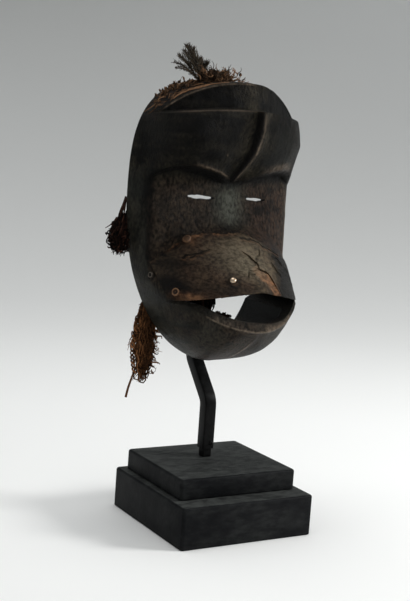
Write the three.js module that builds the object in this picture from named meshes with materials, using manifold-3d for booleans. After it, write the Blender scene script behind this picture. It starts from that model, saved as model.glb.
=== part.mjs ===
// A carved wooden face mask on its display stand.
// Millimetres, +Z up. The face looks along -Y. The origin is the middle of the plinth's underside.
// The mask is one shell: a front surface given as a depth over the face's outline, a side band that
// runs back to the rim, and a hollow inside that keeps the wall's thickness everywhere.

import * as THREE from 'three';
import Module from 'manifold-3d';

const wasm = await Module();
wasm.setup();

// Driving dimensions.

// the plinth: a lower block and a smaller upper block set towards the back
const PLINTH_SIDE = 130;
const PLINTH_LOWER_HEIGHT = 36;
const PLINTH_UPPER_WIDTH = 115;
const PLINTH_UPPER_DEPTH = 103;
const PLINTH_UPPER_HEIGHT = 18;
const PLINTH_UPPER_BACK = 6;
const PLINTH_EDGE = 1.2;
const GAP = 0.3;

// the square bar that carries the mask, and the thinner post it sits on
const ROD_SIDE = 11.4;
const ROD_Y = 16.6;
const ROD_BEND_START = 106;
const ROD_BEND_END = 141;
const ROD_BEND_RADIUS = 14;
const POST_SIDE = 8.4;
const POST_SHOW = 8;
const CRADLE_SIDE = 7;
const CRADLE_Z = 239;
const FINGER_TIP_Y = -12;
const FINGER_CLEARANCE = 1.2;

// the mask's outline seen from the front
const RIM_HALF_WIDTH = 81;
const RIM_MIDDLE_Z = 290;
const RIM_TOP_Z = 388;
const RIM_BOTTOM_Z = 142;
const RIM_UPPER_POWER = 3;
const RIM_LOWER_POWER = 2.25;
const RIM_LOWER_ROUND = 0.52;
const RIM_Y = 43;
const RIM_BOW_TOP = 5;
const RIM_BOW_CHIN = 13;
const FACE_HALF_WIDTH = 70.8;
const SHOULDER_HALF_WIDTH = 70;
const SHOULDER_Z = 357;
const CROWN_TOP_Z = 386.5;
const CROWN_ARC_POWER = 2.4;
const CHIN_CORNER_Z = 172;
const JAW_BAND = 1.5;
const WALL = 9;

// the crown face and the ledge below it
const CROWN_Y = -16;
const CROWN_SWEEP = 33;
const CROWN_POINT_ROUND = 12;
const CROWN_LEAN = 0.17;
const LEDGE_Z = 363;
const LEDGE_DROP = 7;
const LEDGE_STEP = 1.6;

// the forehead, its middle ridge and the brows
const EDGE_Y = 21.5;
const EDGE_SHOULDER_DROP = 6.5;
const EDGE_LOWER_SLOPE = 0.05;
const FOREHEAD_DEPTH = 48;
const FOREHEAD_SINK = 0.31;
const NOSE_ROOT_SINK = 0.32;
const NOSE_ROOT_WIDTH = 16;
const RIDGE_HEIGHT = 4;
const RIDGE_WIDTH = 4.5;
const BROW_Z = 315;
const BROW_ARCH = 13;
const BROW_PEAK_X = 50;
const BROW_RECESS = 5;

// the inset face and its eye slits
const FACE_Y = 3.5;
const FACE_LOW_Y = -1;
const FACE_LOW_Z = 267;
const MUZZLE_SIDE_DROP = 30;
const MUZZLE_SIDE_POWER = 2.6;
const MUZZLE_SWELL = 0.75;
const MUZZLE_ROOT_ROUND = 0.12;
const EYE_Z = 288;
const EYE_INNER_X = 15.7;
const EYE_OUTER_X = 39.2;
const EYE_HEIGHT = 4.2;

// the muzzle, the lips and the jaw
const MUZZLE_ROOT_Y = 13;
const MUZZLE_DEPTH = 69;
const JAW_DEPTH = 73;
const MUZZLE_PLAN_POWER = 1.7;
const MUZZLE_ROUND_POWER = 0.56;
const UPPER_LIP_Z = 214;
const UPPER_LIP_DROP = 12;
const MOUTH_HALF_WIDTH = 55;
const LOWER_LIP_Z = 180.5;
const LOWER_LIP_RISE = 16;
const LOWER_LIP_CORNER_Z = 199.5;
const LIP_FACE = 7.5;
const JAW_CURVE = 0.526;
const JAW_SIDE_CURVE = 0.26;
const JAW_KEEL_WIDTH = 20;

// the hide nailed over the muzzle
const HIDE_TOP_Z = 259.5;
const HIDE_SIDE_DROP = 30;
const HIDE_LEFT_POWER = 3;
const HIDE_RIGHT_POWER = 1.25;
const HIDE_THICKNESS = 2.4;
const TEAR_WIDTH = 1.6;

// the feathers and fibres: where they are tied, and how far they reach
const CREST_STEP = 7.4;
const CREST_RISE = 4;
const CREST_WISP = 18;
const CREST_TRAIL = 50;
const CREST_CORD = 6.5;
const EAR_KNOT_DROP = 7;
const EAR_TUFT_LENGTH = 41;
const EAR_TUFT_RADIUS = 7.5;
const TASSEL_KNOT_RISE = 44;
const TASSEL_LENGTH = 58;
const TASSEL_TAIL = 77.5;

// the nails, placed as shares of the front's half width at their height
const NAIL_TOP = { share: -0.602, z: 251, radius: 3.8, rise: 2.6 };
const NAIL_MUZZLE = { share: -0.274, z: 221.2, radius: 2.8, rise: 2.2 };
const NAIL_LIP = { share: -0.864, z: 208.5, radius: 3.4, rise: 1.8 };
const NAIL_SIDE = { share: -0.98, z: 220, radius: 2.4, rise: 1.4 };

// how finely the shell is faceted
const COLUMNS = 24;
const BAND_RINGS = 2;

// The mask's surface as functions.

/** The rim's half width at a height. */
function rimHalfWidth(z) {
  if (z >= RIM_MIDDLE_Z) {
    const t = Math.min(1, (z - RIM_MIDDLE_Z) / (RIM_TOP_Z - RIM_MIDDLE_Z));
    return RIM_HALF_WIDTH * (1 - t ** RIM_UPPER_POWER) ** (1 / RIM_UPPER_POWER);
  }
  const t = Math.min(1, (RIM_MIDDLE_Z - z) / (RIM_MIDDLE_Z - RIM_BOTTOM_Z));
  return RIM_HALF_WIDTH * (1 - t ** RIM_LOWER_POWER) ** RIM_LOWER_ROUND;
}

/** The height of the rim's upper arc at x. */
function rimTop(x) {
  const share = Math.min(1, Math.abs(x) / RIM_HALF_WIDTH);
  const rise = (1 - share ** RIM_UPPER_POWER) ** (1 / RIM_UPPER_POWER);
  return RIM_MIDDLE_Z + (RIM_TOP_Z - RIM_MIDDLE_Z) * rise;
}

/** The height of the rim's lower arc at x. */
function rimBottom(x) {
  const share = Math.min(1, Math.abs(x) / RIM_HALF_WIDTH);
  const fall = (1 - share ** (1 / RIM_LOWER_ROUND)) ** (1 / RIM_LOWER_POWER);
  return RIM_MIDDLE_Z - (RIM_MIDDLE_Z - RIM_BOTTOM_Z) * fall;
}

/** The rim is bowed: it comes forward a little at the crown and more at the chin. */
function rimY(z) {
  if (z >= RIM_MIDDLE_Z) {
    const share = (z - RIM_MIDDLE_Z) / (RIM_TOP_Z - RIM_MIDDLE_Z);
    return RIM_Y - RIM_BOW_TOP * share * share;
  }
  const share = (RIM_MIDDLE_Z - z) / (RIM_MIDDLE_Z - RIM_BOTTOM_Z);
  return RIM_Y - RIM_BOW_CHIN * share * share;
}

/** Half width of the front surface, where it turns into the side band. */
function frontHalfWidth(z) {
  if (z >= RIM_MIDDLE_Z) {
    const share = (z - RIM_MIDDLE_Z) / (SHOULDER_Z - RIM_MIDDLE_Z);
    return FACE_HALF_WIDTH - (FACE_HALF_WIDTH - SHOULDER_HALF_WIDTH) * share * share;
  }
  return Math.min(FACE_HALF_WIDTH, rimHalfWidth(z) - JAW_BAND);
}

/** The crown's front arc, from shoulder to shoulder. */
function frontTop(x) {
  const share = Math.min(1, Math.abs(x) / SHOULDER_HALF_WIDTH);
  return CROWN_TOP_Z - (CROWN_TOP_Z - SHOULDER_Z) * share ** CROWN_ARC_POWER;
}

/** The chin's front arc. */
function frontBottom(x) {
  return rimBottom(x) + JAW_BAND;
}

function ledgeZ(x) {
  return LEDGE_Z - LEDGE_DROP * (x / SHOULDER_HALF_WIDTH) ** 2;
}

/** The brows are two arches that meet low at the root of the nose. */
function browZ(x) {
  const away = Math.abs(x);
  if (away < BROW_PEAK_X) {
    return BROW_Z - BROW_ARCH * (1 - away / BROW_PEAK_X) ** 1.6;
  }
  return BROW_Z - 3 * ((away - BROW_PEAK_X) / 12) ** 2;
}

/** Where the face begins to swell into the muzzle. */
function muzzleTopZ(x) {
  const share = Math.min(1, Math.abs(x) / FACE_HALF_WIDTH);
  return FACE_LOW_Z - MUZZLE_SIDE_DROP * share ** MUZZLE_SIDE_POWER;
}

/** The hide's upper edge, lower on the right. */
function hideTopZ(x) {
  const share = Math.min(1, Math.abs(x) / FACE_HALF_WIDTH);
  return HIDE_TOP_Z - HIDE_SIDE_DROP * share ** (x < 0 ? HIDE_LEFT_POWER : HIDE_RIGHT_POWER);
}

function upperLipZ(x) {
  return UPPER_LIP_Z - UPPER_LIP_DROP * Math.min(1, Math.abs(x) / 60) ** 1.2;
}

function lowerLipZ(x) {
  const rise = LOWER_LIP_RISE * (x / 50) ** 2;
  return Math.min(LOWER_LIP_Z + rise, LOWER_LIP_CORNER_Z);
}

/** Depth of the edge between face and side band. */
function edgeY(z) {
  if (z >= RIM_MIDDLE_Z) {
    const share = (z - RIM_MIDDLE_Z) / (SHOULDER_Z - RIM_MIDDLE_Z);
    return EDGE_Y - EDGE_SHOULDER_DROP * share * share;
  }
  return EDGE_Y - EDGE_LOWER_SLOPE * (RIM_MIDDLE_Z - z);
}

function crownY(x, z) {
  const away = (u) => Math.hypot(u, CROWN_POINT_ROUND) - CROWN_POINT_ROUND;
  const sweep = (CROWN_SWEEP * away(x)) / away(SHOULDER_HALF_WIDTH);
  return CROWN_Y + sweep - CROWN_LEAN * Math.max(0, frontTop(x) - z) * (1 - Math.abs(x) / 80);
}

/** The forehead swells forward; it is pointed in plan at the ledge and full and round lower down. */
function foreheadY(x, z) {
  const fall = Math.min(1, Math.max(0, (ledgeZ(x) - z) / (ledgeZ(x) - browZ(x))));
  const round = Math.min(1, fall / 0.45);
  const planPower = 1.8 + 1.2 * round;
  const sidePower = 0.7 - 0.2 * round;
  const share = Math.min(1, Math.abs(x) / (frontHalfWidth(z) + 0.5));
  const plan = (1 - share ** planPower) ** sidePower;
  const sink = FOREHEAD_SINK + NOSE_ROOT_SINK * Math.exp(-((x / NOSE_ROOT_WIDTH) ** 2));
  const outer = Math.min(1, Math.max(0, (Math.abs(x) - 44) / 26));
  const depth = FOREHEAD_DEPTH * (1 - sink * fall ** 2.2) * (1 - 0.45 * outer * fall ** 3);
  const ridge = RIDGE_HEIGHT * Math.exp(-((Math.abs(x) / RIDGE_WIDTH) ** 3)) * (1 - fall ** 4);
  return edgeY(z) - depth * plan - ridge;
}

function faceY(x, z) {
  const low = Math.min(1, Math.max(0, (EYE_Z - z) / (EYE_Z - FACE_LOW_Z)));
  const middle = FACE_Y + (FACE_LOW_Y - FACE_Y) * low * low;
  const share = Math.min(1, Math.abs(x) / FACE_HALF_WIDTH);
  return middle + (edgeY(z) - middle) * share ** 2.2;
}

/** The lips' plan: a rounded point, widest at the corners of the mouth. */
function lipY(x, depth) {
  const share = Math.min(1, Math.abs(x) / (FACE_HALF_WIDTH + 0.5));
  return MUZZLE_ROOT_Y - depth * (1 - share ** MUZZLE_PLAN_POWER) ** MUZZLE_ROUND_POWER;
}

function muzzleY(x, z) {
  const top = muzzleTopZ(x);
  if (z > top) return faceY(x, z);
  const fall = Math.min(1, Math.max(0, (top - z) / (top - upperLipZ(x))));
  const start = faceY(x, top);
  const round = Math.hypot(1, MUZZLE_ROOT_ROUND) - MUZZLE_ROOT_ROUND;
  const swell = (Math.hypot(fall, MUZZLE_ROOT_ROUND) - MUZZLE_ROOT_ROUND) / round;
  return start + (lipY(x, MUZZLE_DEPTH) - start) * swell ** MUZZLE_SWELL;
}

function jawY(x, z) {
  const low = rimBottom(x);
  const rise = Math.min(1, Math.max(0, (z - low) / (lowerLipZ(x) - low)));
  const back = rimY(low);
  const keel = Math.exp(-((x / JAW_KEEL_WIDTH) ** 2));
  const curve = JAW_SIDE_CURVE + (JAW_CURVE - JAW_SIDE_CURVE) * keel;
  return back - (back - lipY(x, JAW_DEPTH)) * rise ** curve;
}

function mix(a, b, t) {
  const s = Math.min(1, Math.max(0, t));
  return a + (b - a) * s;
}

/** The carved front: how far back the wood begins at (x, z). */
function frontY(x, z) {
  const ledge = ledgeZ(x);
  if (z > ledge) {
    return mix(foreheadY(x, ledge), crownY(x, z), (z - ledge) / LEDGE_STEP);
  }
  const brow = browZ(x);
  if (z > brow) {
    return foreheadY(x, z);
  }
  if (z > brow - BROW_RECESS) {
    return mix(foreheadY(x, brow), faceY(x, z), (brow - z) / BROW_RECESS);
  }
  if (z > upperLipZ(x)) {
    return Math.min(faceY(x, z), muzzleY(x, z));
  }
  const lower = lowerLipZ(x);
  if (z > lower) {
    const share = (upperLipZ(x) - z) / (upperLipZ(x) - lower);
    return mix(lipY(x, MUZZLE_DEPTH), lipY(x, JAW_DEPTH), share);
  }
  return jawY(x, z);
}

/** The whole outside as one depth function: the front, then the band back to the rim. */
function outsideY(x, z) {
  const high = frontTop(x);
  const low = frontBottom(x);
  const zFront = Math.min(Math.max(z, low), high);
  const wide = frontHalfWidth(Math.min(zFront, SHOULDER_Z));
  const xFront = Math.min(Math.abs(x), wide);
  const overX = (Math.abs(x) - xFront) / Math.max(0.5, rimHalfWidth(z) - wide);
  const overZ = Math.abs(z - zFront) / 2;
  const over = Math.max(overX, overZ);
  if (z > rimTop(x) || z < rimBottom(x) || Math.abs(x) > rimHalfWidth(z)) {
    return RIM_Y + WALL;
  }
  return mix(frontY(xFront, zFront), rimY(z), over);
}

/** The hollow: the outside rolled over by a ball as big as the wall is thick. */
function insideY(x, z) {
  let y = outsideY(x, z) + WALL;
  for (const share of [0.35, 0.7, 0.9, 1]) {
    for (let k = 0; k < 16; k += 1) {
      const angle = (k * Math.PI) / 8;
      const far = WALL * share;
      const lift = WALL * Math.sqrt(1 - share * share);
      y = Math.max(y, outsideY(x + far * Math.cos(angle), z + far * Math.sin(angle)) + lift);
    }
  }
  return Math.min(y, rimY(z));
}

// From functions to closed meshes.

/** Heights of the grid's rows at the side edge, with the curve each named row follows. */
const ROWS = [
  { z: frontTop, steps: 3 },
  { z: (x) => ledgeZ(x) + LEDGE_STEP * (1 - Math.abs(x) / 90), steps: 1 },
  { z: ledgeZ, steps: 7 },
  { z: browZ, steps: 2 },
  { z: (x) => browZ(x) - BROW_RECESS, steps: 5 },
  { z: muzzleTopZ, steps: 6 },
  { z: upperLipZ, steps: 3 },
  { z: lowerLipZ, steps: 8 },
  { z: frontBottom, side: CHIN_CORNER_Z, steps: 0 },
];
ROWS.forEach((row) => {
  if (row.side === undefined) row.side = row.z(SHOULDER_HALF_WIDTH);
});

/** The grid's points (x, z), row by row from crown to chin and column by column across. */
function facePoints(columns, fineness) {
  const rows = [];
  ROWS.slice(0, -1).forEach((row, k) => {
    const next = ROWS[k + 1];
    const steps = row.steps * fineness;
    const last = k === ROWS.length - 2 ? steps + 1 : steps;
    for (let j = 0; j < last; j += 1) {
      const t = j / steps;
      const side = mix(row.side, next.side, t);
      const line = [];
      for (let i = 0; i <= columns; i += 1) {
        const s = (2 * i) / columns - 1;
        const upper = row.z(s * frontHalfWidth(row.side));
        const lower = next.z(s * frontHalfWidth(next.side));
        const x = s * frontHalfWidth(side);
        line.push([x, mix(upper, lower, t)]);
      }
      rows.push(line);
    }
  });
  return rows;
}

/** Order of the grid's border points, once round. */
function borderOf(rowCount, columnCount) {
  const loop = [];
  for (let i = 0; i < columnCount; i += 1) loop.push([0, i]);
  for (let j = 1; j < rowCount; j += 1) loop.push([j, columnCount - 1]);
  for (let i = columnCount - 2; i >= 0; i -= 1) loop.push([rowCount - 1, i]);
  for (let j = rowCount - 2; j > 0; j -= 1) loop.push([j, 0]);
  return loop;
}

/** The rim point that a border point of the front runs back to. */
function rimPoint(j, i, rows, columns) {
  const s = (2 * i) / columns - 1;
  const [, z] = rows[j][i];
  let x = Math.sign(s) * rimHalfWidth(z);
  let height = z;
  if (j === 0) {
    x = s * rimHalfWidth(SHOULDER_Z);
    height = rimTop(x);
  }
  if (j === rows.length - 1) {
    x = s * rimHalfWidth(CHIN_CORNER_Z);
    height = rimBottom(x);
  }
  return [x, height];
}

/** A solid from loose points and triangles. */
function solidOf(points, triangles) {
  const mesh = new wasm.Mesh({
    numProp: 3,
    vertProperties: new Float32Array(points.flat()),
    triVerts: new Uint32Array(triangles.flat()),
  });
  mesh.merge();
  return new wasm.Manifold(mesh);
}

/** The mask's shell, with its outside grown by an allowance that other pieces keep clear of. */
function maskShell(grow) {
  const rows = facePoints(COLUMNS, 1);
  const rowCount = rows.length;
  const columnCount = COLUMNS + 1;
  const points = [];
  const triangles = [];
  const quad = (a, b, c, d) => {
    triangles.push([a, b, c], [a, c, d]);
  };
  rows.forEach((line) => {
    line.forEach(([x, z]) => {
      const y = frontY(x, z);
      const wide = 1 + grow / FACE_HALF_WIDTH;
      points.push([x * wide, y - grow, RIM_MIDDLE_Z + (z - RIM_MIDDLE_Z) * wide]);
    });
  });
  for (let j = 0; j + 1 < rowCount; j += 1) {
    for (let i = 0; i + 1 < columnCount; i += 1) {
      const a = j * columnCount + i;
      quad(a, a + columnCount, a + columnCount + 1, a + 1);
    }
  }
  const border = borderOf(rowCount, columnCount);
  let ring = border.map(([j, i]) => j * columnCount + i);
  for (let b = 1; b <= BAND_RINGS; b += 1) {
    const t = b / BAND_RINGS;
    const start = points.length;
    border.forEach(([j, i]) => {
      const [x0, y0, z0] = points[j * columnCount + i];
      const [x1, z1] = rimPoint(j, i, rows, COLUMNS);
      const wide = 1 + grow / FACE_HALF_WIDTH;
      const xRim = x1 * wide;
      const zRim = RIM_MIDDLE_Z + (z1 - RIM_MIDDLE_Z) * wide;
      points.push([mix(x0, xRim, t), mix(y0, rimY(z1) + grow, t), mix(z0, zRim, t)]);
    });
    const nextRing = border.map((_, k) => start + k);
    ring.forEach((a, k) => {
      const after = (k + 1) % ring.length;
      quad(a, ring[after], nextRing[after], nextRing[k]);
    });
    ring = nextRing;
  }
  const inner = points.length;
  const shrink = (RIM_HALF_WIDTH - WALL - grow) / RIM_HALF_WIDTH;
  rows.forEach((line, j) => {
    line.forEach((point, i) => {
      const onBorder = j === 0 || j === rowCount - 1 || i === 0 || i === COLUMNS;
      const [xr, zr] = innerPoint(rows, j, i);
      const x = xr * shrink;
      const z = RIM_MIDDLE_Z + (zr - RIM_MIDDLE_Z) * shrink;
      const y = onBorder ? rimY(zr) + grow : Math.min(insideY(x, z), rimY(zr)) + grow;
      points.push([x, y, z]);
    });
  });
  const innerRing = border.map(([j, i]) => inner + j * columnCount + i);
  ring.forEach((a, k) => {
    const after = (k + 1) % ring.length;
    quad(a, ring[after], innerRing[after], innerRing[k]);
  });
  for (let j = 0; j + 1 < rowCount; j += 1) {
    for (let i = 0; i + 1 < columnCount; i += 1) {
      const a = inner + j * columnCount + i;
      quad(a, a + 1, a + columnCount + 1, a + columnCount);
    }
  }
  return solidOf(points, triangles);
}

/** A point of the inner grid before it is drawn in by the wall: it reaches the rim's outline. */
function innerPoint(rows, j, i) {
  const s = (2 * i) / COLUMNS - 1;
  const [, z] = rows[j][i];
  const side = rows[j][COLUMNS][1];
  const squeeze = Math.sin((s * Math.PI) / 2) * 0.5 + s * 0.5;
  const x = squeeze * rimHalfWidth(side);
  const top = rimTop(x);
  const bottom = rimBottom(x);
  const frontShare = (z - frontBottom(x * 0.97)) / (frontTop(x * 0.97) - frontBottom(x * 0.97));
  if (j === 0) return [squeeze * rimHalfWidth(SHOULDER_Z), rimTop(squeeze * rimHalfWidth(SHOULDER_Z))];
  if (j === rows.length - 1) {
    const xb = squeeze * rimHalfWidth(CHIN_CORNER_Z);
    return [xb, rimBottom(xb)];
  }
  const middle = bottom + (top - bottom) * Math.min(0.995, Math.max(0.005, frontShare));
  return [x, mix(middle, side, Math.abs(s) ** 6)];
}

/** The mouth's opening: between the lips, with the lower lip's face sloping in. */
function mouthCutter() {
  const points = [];
  const triangles = [];
  const stations = 18;
  const front = -110;
  const back = 90;
  const perStation = 6;
  for (let k = 0; k <= stations; k += 1) {
    const x = MOUTH_HALF_WIDTH * Math.sin((k / stations - 0.5) * Math.PI);
    const top = upperLipZ(x);
    const low = lowerLipZ(x);
    const face = Math.min(LIP_FACE, 0.6 * (top - low));
    const lip = lipY(x, JAW_DEPTH);
    points.push(
      [x, front, top],
      [x, front, low],
      [x, lip, low],
      [x, lip + face * 0.7, low + face],
      [x, back, low + face],
      [x, back, top],
    );
  }
  for (let k = 0; k < stations; k += 1) {
    for (let n = 0; n < perStation; n += 1) {
      const a = k * perStation + n;
      const b = k * perStation + ((n + 1) % perStation);
      triangles.push([a, a + perStation, b + perStation], [a, b + perStation, b]);
    }
  }
  for (let n = 1; n + 1 < perStation; n += 1) {
    const end = stations * perStation;
    triangles.push([0, n, n + 1], [end, end + n + 1, end + n]);
  }
  return positive(solidOf(points, triangles));
}

/** One eye slit, a rounded slot cut straight through. */
function eyeCutter(side) {
  const width = EYE_OUTER_X - EYE_INNER_X;
  const points = [];
  const triangles = [];
  const sides = 12;
  [-60, 60].forEach((y) => {
    for (let k = 0; k < sides; k += 1) {
      const angle = ((k + 0.5) / sides) * 2 * Math.PI;
      const flat = Math.sign(Math.cos(angle)) * (width / 2 - EYE_HEIGHT / 2);
      const x = flat + (EYE_HEIGHT / 2) * Math.cos(angle);
      const z = EYE_Z + (EYE_HEIGHT / 2) * Math.sin(angle);
      points.push([side * (EYE_INNER_X + width / 2) + x, y, z]);
    }
  });
  for (let k = 0; k < sides; k += 1) {
    const next = (k + 1) % sides;
    triangles.push([k, next, sides + next], [k, sides + next, sides + k]);
  }
  for (let k = 1; k + 1 < sides; k += 1) {
    triangles.push([0, k + 1, k], [sides, sides + k, sides + k + 1]);
  }
  return positive(solidOf(points, triangles));
}

/** Turns a solid the right way out if its faces were wound inwards. */
function positive(solid) {
  if (solid.volume() > 0) return solid;
  const mesh = solid.getMesh();
  const turned = [];
  for (let k = 0; k < mesh.triVerts.length; k += 3) {
    turned.push(mesh.triVerts[k], mesh.triVerts[k + 2], mesh.triVerts[k + 1]);
  }
  const copy = new wasm.Mesh({
    numProp: 3,
    vertProperties: mesh.vertProperties,
    triVerts: new Uint32Array(turned),
  });
  return new wasm.Manifold(copy);
}

/** A tube through a list of points, with a radius at each point and rounded-off ends. */
function tube(path, radii, sides = 6, flat = 1) {
  const points = [];
  const triangles = [];
  path.forEach((centre, k) => {
    const before = path[Math.max(0, k - 1)];
    const after = path[Math.min(path.length - 1, k + 1)];
    const ahead = new THREE.Vector3().subVectors(after, before).normalize();
    const across = new THREE.Vector3(0, 1, 0).cross(ahead);
    if (across.length() < 0.1) across.set(1, 0, 0);
    across.normalize();
    const other = new THREE.Vector3().crossVectors(ahead, across);
    for (let n = 0; n < sides; n += 1) {
      const angle = (n / sides) * 2 * Math.PI;
      const point = centre.clone();
      point.addScaledVector(across, radii[k] * Math.cos(angle));
      point.addScaledVector(other, radii[k] * flat * Math.sin(angle));
      points.push(point.toArray());
    }
  });
  for (let k = 0; k + 1 < path.length; k += 1) {
    for (let n = 0; n < sides; n += 1) {
      const a = k * sides + n;
      const b = k * sides + ((n + 1) % sides);
      triangles.push([a, b, b + sides], [a, b + sides, a + sides]);
    }
  }
  const end = (path.length - 1) * sides;
  for (let n = 1; n + 1 < sides; n += 1) {
    triangles.push([0, n + 1, n], [end, end + n, end + n + 1]);
  }
  return positive(solidOf(points, triangles));
}

/** Fuses several solids into one. */
function fuse(solids) {
  return solids.reduce((whole, next) => whole.add(next));
}

/** A repeatable scatter between -1 and 1. */
function scatter(seed) {
  const value = Math.sin(seed * 127.1 + 311.7) * 43758.5453;
  return 2 * (value - Math.floor(value)) - 1;
}

/** A strand that starts at one point, hangs to another and sways in between. */
function strand(from, to, thick, seed, sway, steps = 4) {
  const path = [];
  const radii = [];
  for (let k = 0; k <= steps; k += 1) {
    const t = k / steps;
    const point = new THREE.Vector3().lerpVectors(from, to, t);
    point.x += sway * Math.sin(t * Math.PI) * scatter(seed + k * 0.37);
    point.z += sway * 0.6 * Math.sin(t * Math.PI) * scatter(seed + 5 + k * 0.53);
    path.push(point);
    radii.push(thick * (1 - 0.65 * t * t));
  }
  return tube(path, radii, 4);
}

/** A box with its upright and upper edges chamfered. */
function block(width, depth, height, edge) {
  const points = [];
  const triangles = [];
  const ring = (inset, z) => {
    const hx = width / 2 - inset;
    const hy = depth / 2 - inset;
    const cut = edge;
    points.push(
      [hx, -hy + cut, z], [hx, hy - cut, z], [hx - cut, hy, z], [-hx + cut, hy, z],
      [-hx, hy - cut, z], [-hx, -hy + cut, z], [-hx + cut, -hy, z], [hx - cut, -hy, z],
    );
  };
  ring(0, 0);
  ring(0, height - edge);
  ring(edge, height);
  for (let k = 0; k < 2; k += 1) {
    for (let n = 0; n < 8; n += 1) {
      const a = k * 8 + n;
      const b = k * 8 + ((n + 1) % 8);
      triangles.push([a, b, b + 8], [a, b + 8, a + 8]);
    }
  }
  for (let n = 1; n + 1 < 8; n += 1) {
    triangles.push([0, n + 1, n], [16, 16 + n, 16 + n + 1]);
  }
  return solidOf(points, triangles);
}

/** Removes the share of a loose piece that would lie inside the mask, with a small gap. */
function clearOfMask(solid) {
  const left = solid.subtract(grownMask);
  const bodies = left.decompose();
  return bodies.reduce((most, next) => (next.volume() > most.volume() ? next : most));
}

// The pieces.

function buildMask() {
  const shell = maskShell(0);
  return shell.subtract(mouthCutter()).subtract(eyeCutter(-1)).subtract(eyeCutter(1));
}

/** The hide follows the muzzle from its upper edge to the upper lip. */
function buildHide() {
  const points = [];
  const triangles = [];
  const across = 20;
  const down = 6;
  const layer = (out) => {
    for (let j = 0; j <= down; j += 1) {
      for (let i = 0; i <= across; i += 1) {
        const s = (2 * i) / across - 1;
        const t = j / down;
        const half = mix(frontHalfWidth(hideTopZ(FACE_HALF_WIDTH)), frontHalfWidth(202), t) - 0.6;
        const x = s * half;
        const wave = 1.2 * Math.sin(9 * s) * (1 - s * s);
        const top = hideTopZ(s * (FACE_HALF_WIDTH - 0.6)) + wave;
        const z = mix(top, upperLipZ(x) + 0.5, t);
        points.push([x, frontY(x, z) - GAP - out, z]);
      }
    }
  };
  layer(HIDE_THICKNESS);
  layer(0.35);
  const row = across + 1;
  const size = row * (down + 1);
  for (let j = 0; j < down; j += 1) {
    for (let i = 0; i < across; i += 1) {
      const a = j * row + i;
      triangles.push([a, a + row, a + row + 1], [a, a + row + 1, a + 1]);
      const b = size + a;
      triangles.push([b, b + row + 1, b + row], [b, b + 1, b + row + 1]);
    }
  }
  const border = borderOf(down + 1, row).map(([j, i]) => j * row + i);
  border.forEach((a, k) => {
    const b = border[(k + 1) % border.length];
    triangles.push([a, b, size + b], [a, size + b, size + a]);
  });
  return positive(solidOf(points, triangles)).subtract(grownShell).subtract(tearCutter());
}

/** The long tear, from below the hide's top edge to near the lip. */
function tearCutter() {
  const route = [
    [-1, 246], [4, 241.5], [8.3, 237], [9.5, 232], [18.5, 229], [21.5, 222.5], [25, 212.5],
  ].map(([x, z]) => new THREE.Vector3(x, 0, z));
  const pieces = [];
  for (let k = 0; k + 1 < route.length; k += 1) {
    const along = new THREE.Vector3().subVectors(route[k + 1], route[k]);
    const length = along.length() + TEAR_WIDTH;
    const bar = wasm.Manifold.cube([length, 160, TEAR_WIDTH], true);
    const angle = (Math.atan2(along.z, along.x) * 180) / Math.PI;
    const middle = new THREE.Vector3().lerpVectors(route[k], route[k + 1], 0.5);
    pieces.push(bar.rotate([0, -angle, 0]).translate([middle.x, -60, middle.z]));
  }
  return fuse(pieces);
}

/** A domed nail head that faces forwards over the hide. */
function buildNail({ share, z, radius, rise }) {
  const x = share * frontHalfWidth(z);
  const eps = 1.5;
  const slopeX = (frontY(x + eps, z) - frontY(x - eps, z)) / (2 * eps);
  const slopeZ = (frontY(x, z + eps) - frontY(x, z - eps)) / (2 * eps);
  const normal = new THREE.Vector3(slopeX, -1, slopeZ).normalize();
  const turn = new THREE.Quaternion().setFromUnitVectors(new THREE.Vector3(0, 0, 1), normal);
  const points = [];
  const triangles = [];
  const sides = 10;
  const rings = [[0.96, 0], [1, 0.25], [0.66, 0.8]];
  const foot = new THREE.Vector3(x, frontY(x, z), z);
  foot.addScaledVector(normal, HIDE_THICKNESS * Math.abs(normal.y) + 2.5 * GAP);
  rings.forEach(([wide, high]) => {
    for (let n = 0; n < sides; n += 1) {
      const angle = (n / sides) * 2 * Math.PI;
      const point = new THREE.Vector3(Math.cos(angle), Math.sin(angle), 0);
      point.multiplyScalar(radius * wide);
      point.z = rise * high;
      points.push(point.applyQuaternion(turn).add(foot).toArray());
    }
  });
  for (let k = 0; k + 1 < rings.length; k += 1) {
    for (let n = 0; n < sides; n += 1) {
      const a = k * sides + n;
      const b = k * sides + ((n + 1) % sides);
      triangles.push([a, b, b + sides], [a, b + sides, a + sides]);
    }
  }
  const end = (rings.length - 1) * sides;
  const tip = new THREE.Vector3(0, 0, rise).applyQuaternion(turn).add(foot);
  points.push(tip.toArray());
  for (let n = 0; n < sides; n += 1) {
    triangles.push([end + n, end + ((n + 1) % sides), points.length - 1]);
  }
  for (let n = 1; n + 1 < sides; n += 1) {
    triangles.push([0, n + 1, n]);
  }
  return positive(solidOf(points, triangles)).subtract(hide);
}

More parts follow.
